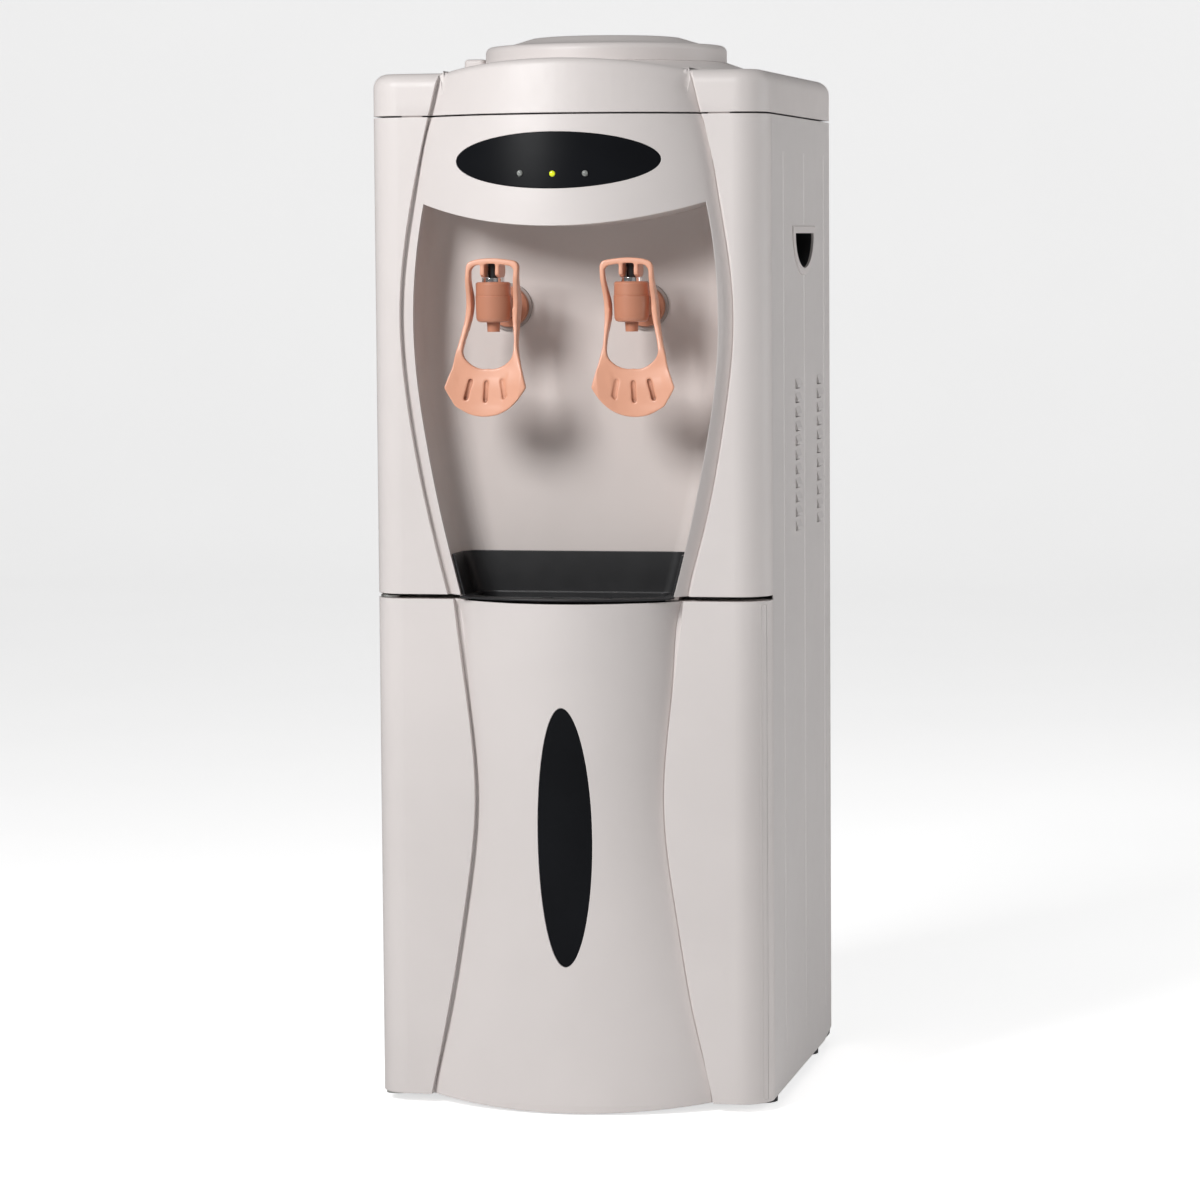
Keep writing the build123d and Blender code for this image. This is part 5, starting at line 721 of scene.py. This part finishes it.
class COOLER_OT_top_cover(Operator):
    """Arches the middle of the top cover, and adds its plinth and stop lug"""

    bl_idname = "cooler.top_cover"
    bl_label = "Top Cover"

    def execute(self, context):
        sizes = context.scene.cooler_parts
        self.arch(sizes)
        self.add_plinth()
        self.add_lug(sizes)
        return {"FINISHED"}

    def arch(self, sizes):
        """The frame's cover with its flat middle arched from side to side."""
        shape = merged_copy("top_cover")
        half, flat, shoulder = 0.105, 0.884, 0.8735      # the frame's middle and its two sides
        bend_from, side_from, middle_from = 0.846, 0.866, 0.877
        front_y, slack = -0.1435, 0.0001
        cut_across(shape, 0, [step * 0.0095 for step in range(-11, 12)])
        cut_across(shape, 2, (0.850, 0.858, 0.866))
        for vert in shape.verts:
            x, y, z = vert.co
            behind = y > front_y
            if abs(x) > half + 0.0005 or (behind and abs(x) > half - 0.0015 and z < 0.8765):
                low = z < flat - 0.006
                raised = z + sizes.shoulder_lift * ramp(z, bend_from, side_from)
                vert.co.z = raised if low else shoulder + sizes.shoulder_lift + slack
                continue
            share = (min(abs(x), half) / half) ** 2
            if z > flat + slack:
                z = flat
            lifted = z + (sizes.arch_lift - sizes.arch_rise * share) * ramp(z, bend_from, middle_from)
            if behind and z > shoulder - slack:
                lifted = max(lifted, shoulder + sizes.shoulder_lift)
            vert.co.z = lifted
        keep_creases(finish_piece(shape, "top_cover_moulding", "cabinet", "cover", ("top_cover",)))

    def add_plinth(self):
        """The sloped ring that the bottle seat's collar stands on."""
        centre = (0, SEAT_Y)
        bore, step, rim, foot_z, rim_z = 0.0963, 0.1065, 0.1262, 0.8725, 0.8800
        ring = spun([(bore, foot_z), (bore, PLINTH_TOP), (step, PLINTH_TOP), (rim, rim_z), (rim, foot_z)], centre)
        rounded_ring(ring, centre, rim, rim_z, 0.0016, 4)
        keep_creases(finish_piece(ring, "plinth_ring", "cabinet", "cover"))

    def add_lug(self, sizes):
        """The rounded stop lug at the collar's left."""
        block = bmesh.new()
        bmesh.ops.create_cube(block, size=1)
        bmesh.ops.scale(block, verts=block.verts, vec=sizes.lug_size)
        bmesh.ops.translate(block, verts=block.verts, vec=(-0.1153, SEAT_Y, 0.8835))
        upright = [e for e in block.edges if abs(e.verts[0].co.z - e.verts[1].co.z) > 0.01]
        bmesh.ops.bevel(block, geom=upright, offset=0.004, segments=6, profile=0.5, affect="EDGES", material=-1)
        high = max(v.co.z for v in block.verts)
        top = [e for e in block.edges if all(abs(v.co.z - high) < 1e-6 for v in e.verts)]
        bmesh.ops.bevel(block, geom=top, offset=0.003, segments=5, profile=0.5, affect="EDGES", material=-1)
        bmesh.ops.recalc_face_normals(block, faces=block.faces)
        keep_creases(finish_piece(block, "stop_lug", "cabinet", "cover"))


class COOLER_OT_bottle_seat(Operator):
    """Turns the bottle seat with its domed rim over the frame's seat"""

    bl_idname = "cooler.bottle_seat"
    bl_label = "Bottle Seat"

    def execute(self, context):
        centre = (0, SEAT_Y)
        collar, skirt, throat, wall = 0.1050, 0.0957, 0.0285, 0.0025
        inner_skirt, tube_z, skirt_z, brim_z = skirt - 0.003, 0.8280, 0.8720, 0.9018
        under = [
            (throat, tube_z), (throat + wall, tube_z), (throat + wall, 0.8660), (0.0420, 0.8740),
            (0.0600, 0.9015), (0.0840, 0.8985), (inner_skirt, 0.8965), (inner_skirt, skirt_z),
            (skirt, skirt_z), (skirt, PLINTH_TOP),
        ]
        over = [
            (collar, PLINTH_TOP), (collar, brim_z), (0.0850, 0.9034), (0.0770, 0.9056), (0.0695, 0.9080),
            (0.0640, 0.9095), (0.0590, 0.9100), (0.0540, 0.9085), (0.0400, 0.8820), (throat, 0.8685),
        ]
        seat = spun(under + over, centre)
        rounded_ring(seat, centre, collar, brim_z, 0.0050, 7)
        rounded_ring(seat, centre, collar, PLINTH_TOP, 0.0006, 2)
        keep_creases(finish_piece(seat, "bottle_seat_moulding", "bottle_seat", "cover", ("bottle_seat",)))
        return {"FINISHED"}


class COOLER_OT_recess(Operator):
    """Finishes the dispensing recess"""

    bl_idname = "cooler.recess"
    bl_label = "Dispensing Recess"

    def execute(self, context):
        dress("dispensing_recess")
        return {"FINISHED"}


class COOLER_OT_casing(Operator):
    """Finishes the steel casing, the base and its feet"""

    bl_idname = "cooler.casing"
    bl_label = "Casing and Base"

    def execute(self, context):
        dress("left_side_panel", "right_side_panel", "back_panel", "base_pan", "feet", "mid_deck")
        return {"FINISHED"}


class COOLER_OT_door(Operator):
    """Finishes the cabinet door, its insert and fittings, and the cabinet behind it"""

    bl_idname = "cooler.door"
    bl_label = "Door and Cabinet"

    def execute(self, context):
        dress("door_shell", "door_liner", "door_insert", "door_bushes", "door_magnet")
        dress("cabinet_liner", "hinge_brackets", "catch_plate")
        self.add_corner()
        return {"FINISHED"}

    def add_corner(self):
        """The strip of the door's rounded edge between its front and its side."""
        centre, radius, wall = Vector((0.143, -0.1215, 0)), 0.02698, 0.0022
        foot_z, height = 0.0105, 0.4200
        strip = bmesh.new()
        angles = [math.radians(-44 + 2 * step) for step in range(12)]
        ways = [Vector((math.cos(angle), math.sin(angle), 0)) for angle in angles]
        outer = [strip.verts.new(centre + way * radius) for way in ways]
        inner = [strip.verts.new(centre + way * (radius - wall)) for way in ways]
        band = strip.faces.new(outer + inner[::-1])
        bmesh.ops.translate(strip, verts=strip.verts, vec=(0, 0, foot_z))
        raised = bmesh.ops.extrude_face_region(strip, geom=[band])
        moved = [g for g in raised["geom"] if isinstance(g, bmesh.types.BMVert)]
        bmesh.ops.translate(strip, verts=moved, vec=(0, 0, height))
        bmesh.ops.recalc_face_normals(strip, faces=strip.faces)
        keep_creases(finish_piece(strip, "door_edge_strip", "door", "cover"))


class COOLER_OT_display(Operator):
    """Finishes the display window and its lights"""

    bl_idname = "cooler.display"
    bl_label = "Display"

    def execute(self, context):
        dress("display_window", "indicator_board", "lit_indicator", "unlit_indicators")
        sizes = context.scene.cooler_parts
        for name, slot, x, z in (
            ("left_lens", "dark_light", -LENS_PITCH, 0.7905),
            ("middle_lens", "red_light", 0.0002, 0.7897),
            ("right_lens", "dark_light", 0.0274, 0.7898),
        ):
            self.add_lens(name, slot, x, z, sizes)
        return {"FINISHED"}

    def add_lens(self, name, slot, x, z, sizes):
        """A domed lens on the face of the window."""
        face_y = min(v.co.y for v in NODES["lit_indicator"].data.vertices)
        face_y += LENS_BOW * (x / LENS_PITCH) ** 2
        dome = bmesh.new()
        bmesh.ops.create_uvsphere(dome, u_segments=32, v_segments=16, radius=1)
        bmesh.ops.scale(dome, verts=dome.verts, vec=(sizes.lens_radius, sizes.lens_rise, sizes.lens_radius))
        bmesh.ops.translate(dome, verts=dome.verts, vec=(x, face_y + 0.0004, z))
        finish_piece(dome, name, "cabinet", slot)


class COOLER_OT_taps(Operator):
    """Finishes the valves, stems, washers, seals and nuts"""

    bl_idname = "cooler.taps"
    bl_label = "Taps"

    def execute(self, context):
        dress("left_tap_body", "right_tap_body", "left_tap_bonnet", "right_tap_bonnet")
        dress("left_stem", "right_stem", "tap_washers", "tap_nuts")
        dress_in("wall_seal", "tap_wall_seals")
        return {"FINISHED"}


class COOLER_OT_levers(Operator):
    """Makes the two levers as soft-edged mouldings over the frame's levers"""

    bl_idname = "cooler.levers"
    bl_label = "Levers"

    def execute(self, context):
        sizes = context.scene.cooler_parts
        for side in ("left", "right"):
            body = f"{side}_lever"
            shape = merged_copy(body)
            rough = bpy.data.meshes.new(f"{body}_rough")
            shape.to_mesh(rough)
            shape.free()
            draft = bpy.data.objects.new(f"{body}_draft", rough)
            context.scene.collection.objects.link(draft)
            skin = draft.modifiers.new("Even skin", "REMESH")
            skin.mode = "VOXEL"
            skin.voxel_size = sizes.lever_cell
            context.view_layer.update()
            even = bpy.data.meshes.new_from_object(draft.evaluated_get(context.evaluated_depsgraph_get()))
            bpy.data.objects.remove(draft)
            soft = bmesh.new()
            soft.from_mesh(even)
            if not soft.verts:
                raise RuntimeError(f"the skin of {body} came out empty")
            for _ in range(sizes.lever_passes):
                bmesh.ops.smooth_vert(
                    soft, verts=soft.verts, factor=0.5, use_axis_x=True, use_axis_y=True, use_axis_z=True
                )
            self.shape_lever(soft, -1 if side == "left" else 1, sizes)
            piece = finish_piece(soft, f"{side}_lever_moulding", body, "tap", (body,))
            # Painted light: the lever takes the paler copy of the taps' peach.
            piece.data.materials[0] = finish("lever")
        return {"FINISHED"}

    def shape_lever(self, soft, side, sizes):
        """Leans the lever outwards, dishes its paddle and curves its bars back beside the valve."""
        tap_x, pivot_z, waist_z, tip_z, splay = 0.059, 0.711, 0.690, 0.613, math.radians(2.4)
        side_widening, deep_sweep, groove_drop = 0.0020, 0.006, 0.0025
        for vert in soft.verts:
            x, y, z = vert.co
            middle = side * (tap_x + (pivot_z - z) * math.tan(splay))
            across = x - middle
            reach = abs(across)
            low = ramp(pivot_z - z, 0.004, 0.020)
            arms = max(low, ramp(reach, 0.011, 0.018))
            lean = side * sizes.lever_lean * (waist_z - z) * arms
            window = ramp(z, 0.622, 0.640) * (1 - ramp(z, 0.650, 0.676))
            wider = side_widening * window * ramp(reach, 0.006, 0.017) * (1 - ramp(reach, 0.021, 0.028))
            back = ramp(0.706 - z, 0, 0.026) * (1 - ramp(0.676 - z, 0, 0.676 - tip_z))
            deep = ramp(y, -0.178, -0.168) * ramp(reach, 0.014, 0.017)
            dish = ramp(0.646 - z, 0, 0.020) * (1 - min(1.0, reach / 0.034) ** 2)
            sunk = ramp(0.6285 - z, 0, 0.0055) * (1 - ramp(0.603 - z, 0, 0.010)) * (1 - ramp(reach, 0.019, 0.024))
            vert.co.x = x + lean + math.copysign(wider, across)
            vert.co.z = z - groove_drop * sunk
            vert.co.y = y + back * (sizes.lever_sweep + deep_sweep * deep) + sizes.lever_dish * dish


class COOLER_OT_drip_tray(Operator):
    """Finishes the drip tray and its grille"""

    bl_idname = "cooler.drip_tray"
    bl_label = "Drip Tray"

    def execute(self, context):
        dress("drip_tray", "drip_grille")
        return {"FINISHED"}


class COOLER_OT_water_circuit(Operator):
    """Finishes the tanks, hoses, cooling unit and control board"""

    bl_idname = "cooler.water_circuit"
    bl_label = "Water Circuit"

    def execute(self, context):
        dress("cold_tank", "cold_tank_insulation", "tank_baffle", "tank_bracket")
        dress("hot_tank", "hot_tank_jacket", "heater_band", "thermostats")
        dress("cold_block", "heat_sink", "fan_frame", "fan_rotor")
        dress("cold_hose", "hot_feed_hose", "hot_hose", "power_board")
        return {"FINISHED"}


class COOLER_OT_rear_fittings(Operator):
    """Finishes the switches, gland, drain and screws at the back"""

    bl_idname = "cooler.rear_fittings"
    bl_label = "Rear Fittings"

    def execute(self, context):
        dress("switch_housing", "heater_switch", "cooler_switch")
        dress("cord_gland", "drain_pipe", "drain_cap", "screws")
        return {"FINISHED"}


class COOLER_OT_studio(Operator):
    """Sets up the camera, the lamps, the floor and the backdrop"""

    bl_idname = "cooler.studio"
    bl_label = "Studio"

    def execute(self, context):
        studio = context.scene.cooler_studio
        self.make_camera(context.scene, studio)
        self.make_lamps(context.scene, studio)
        self.make_floor(context.scene, studio)
        self.make_sky(context.scene, studio)
        context.scene.view_settings.view_transform = "Standard"
        return {"FINISHED"}

    def make_camera(self, scene, studio):
        data = bpy.data.cameras.new("Camera")
        data.lens = studio.lens
        data.sensor_width = 36
        data.clip_start = 0.05
        camera = bpy.data.objects.new("Camera", data)
        scene.collection.objects.link(camera)
        camera.matrix_world = (
            Matrix.Translation(studio.camera_place)
            @ Matrix.Rotation(studio.turn, 4, "Z")
            @ Matrix.Rotation(math.pi / 2 - studio.tilt, 4, "X")
            @ Matrix.Rotation(studio.roll, 4, "Z")
        )
        scene.camera = camera

    def add_lamp(self, scene, name, place, target, power, width, height):
        data = bpy.data.lights.new(name, "AREA")
        data.shape = "RECTANGLE"
        data.size = width
        data.size_y = height
        data.energy = power
        lamp = bpy.data.objects.new(name, data)
        scene.collection.objects.link(lamp)
        lamp.location = place
        lamp.rotation_euler = (Vector(target) - Vector(place)).to_track_quat("-Z", "Y").to_euler()

    def make_lamps(self, scene, studio):
        middle = (0, 0, 0.55)
        self.add_lamp(scene, "Key Lamp", (-1.02, -2.05, 1.78), middle, studio.key_power, 0.85, 0.85)
        self.add_lamp(scene, "Fill Lamp", (1.6, -2.6, 0.7), middle, studio.fill_power, 1.6, 2.0)
        self.add_lamp(scene, "Side Lamp", (2.5, 0.75, 1.1), middle, studio.side_power, 1.6, 2.4)

    def make_floor(self, scene, studio):
        """A floor that sweeps up into a backdrop, drawn as one spun and extruded strip."""
        sweep = bmesh.new()
        corner, front, back, half, height = 1.2, -7, 6.5, 6, 7
        first = sweep.verts.new((-half, front, 0))
        second = sweep.verts.new((-half, back - corner, 0))
        sweep.edges.new((first, second))
        bend = bmesh.ops.spin(
            sweep, geom=[second], cent=(-half, back - corner, corner), axis=(1, 0, 0), angle=math.pi / 2,
            steps=24, use_merge=False, use_duplicate=False,
        )
        top = [g for g in bend["geom_last"] if isinstance(g, bmesh.types.BMVert)][0]
        last = sweep.verts.new((top.co.x, top.co.y, height))
        sweep.edges.new((top, last))
        wide = bmesh.ops.extrude_edge_only(sweep, edges=sweep.edges)
        moved = [g for g in wide["geom"] if isinstance(g, bmesh.types.BMVert)]
        bmesh.ops.translate(sweep, verts=moved, vec=(2 * half, 0, 0))
        bmesh.ops.recalc_face_normals(sweep, faces=sweep.faces)
        mesh = bpy.data.meshes.new("Backdrop")
        sweep.to_mesh(mesh)
        sweep.free()
        for face in mesh.polygons:
            face.use_smooth = True
        material, tree, shader, place = start_finish("Pale Backdrop")
        patch = noise(tree, place, 3.0, 2, (-900, 0))
        tone = two_tone(tree, patch, shade(studio.floor, 0.99), shade(studio.floor, 1.01), (-500, 0))
        tree.links.new(tone, shader.inputs["Base Color"])
        seen = add_node(tree, "ShaderNodeLightPath", (-500, -300))
        tree.links.new(tone, shader.inputs["Emission Color"])
        tree.links.new(
            maths(tree, "MULTIPLY", seen.outputs["Is Camera Ray"], studio.floor_glow, (-200, -300)),
            shader.inputs["Emission Strength"],
        )
        shader.inputs["Roughness"].default_value = 0.9
        shader.inputs["Specular IOR Level"].default_value = 0.1
        mesh.materials.append(material)
        floor = bpy.data.objects.new("Backdrop", mesh)
        scene.collection.objects.link(floor)

    def make_sky(self, scene, studio):
        world = bpy.data.worlds.new("Studio")
        world.use_nodes = True
        background = next(n for n in world.node_tree.nodes if n.bl_idname == "ShaderNodeBackground")
        background.inputs["Color"].default_value = (1, 1, 1, 1)
        background.inputs["Strength"].default_value = studio.sky
        scene.world = world


OPERATORS = (
    COOLER_OT_studio,
    COOLER_OT_front_covers,
    COOLER_OT_top_cover,
    COOLER_OT_bottle_seat,
    COOLER_OT_recess,
    COOLER_OT_casing,
    COOLER_OT_door,
    COOLER_OT_display,
    COOLER_OT_taps,
    COOLER_OT_levers,
    COOLER_OT_drip_tray,
    COOLER_OT_water_circuit,
    COOLER_OT_rear_fittings,
)


class COOLER_PT_panel(Panel):
    """Lists the steps that dress the water cooler"""

    bl_idname = "COOLER_PT_panel"
    bl_label = "Water Cooler"
    bl_space_type = "VIEW_3D"
    bl_region_type = "UI"
    bl_category = CATEGORY

    def draw(self, context):
        column = self.layout.column(align=True)
        for operator in OPERATORS:
            column.operator(operator.bl_idname)
        for group in ("cooler_finishes", "cooler_parts", "cooler_studio"):
            box = self.layout.box()
            settings = getattr(context.scene, group)
            for name in settings.__annotations__:
                box.prop(settings, name)


CLASSES = (CoolerFinishes, CoolerFineParts, CoolerStudio, *OPERATORS, COOLER_PT_panel)


def register():
    for cls in CLASSES:
        bpy.utils.register_class(cls)
    bpy.types.Scene.cooler_finishes = PointerProperty(type=CoolerFinishes)
    bpy.types.Scene.cooler_parts = PointerProperty(type=CoolerFineParts)
    bpy.types.Scene.cooler_studio = PointerProperty(type=CoolerStudio)


def unregister():
    del bpy.types.Scene.cooler_studio
    del bpy.types.Scene.cooler_parts
    del bpy.types.Scene.cooler_finishes
    for cls in reversed(CLASSES):
        bpy.utils.unregister_class(cls)


def clear_default_scene():
    """Removes the start file's own cube, lamp and camera."""
    for name in ("Cube", "Light", "Camera"):
        if name in bpy.data.objects:
            bpy.data.objects.remove(bpy.data.objects[name])


def main():
    clear_default_scene()
    register()
    for operator in OPERATORS:
        group, name = operator.bl_idname.split(".")
        getattr(getattr(bpy.ops, group), name)()


if __name__ == "__main__":
    main()
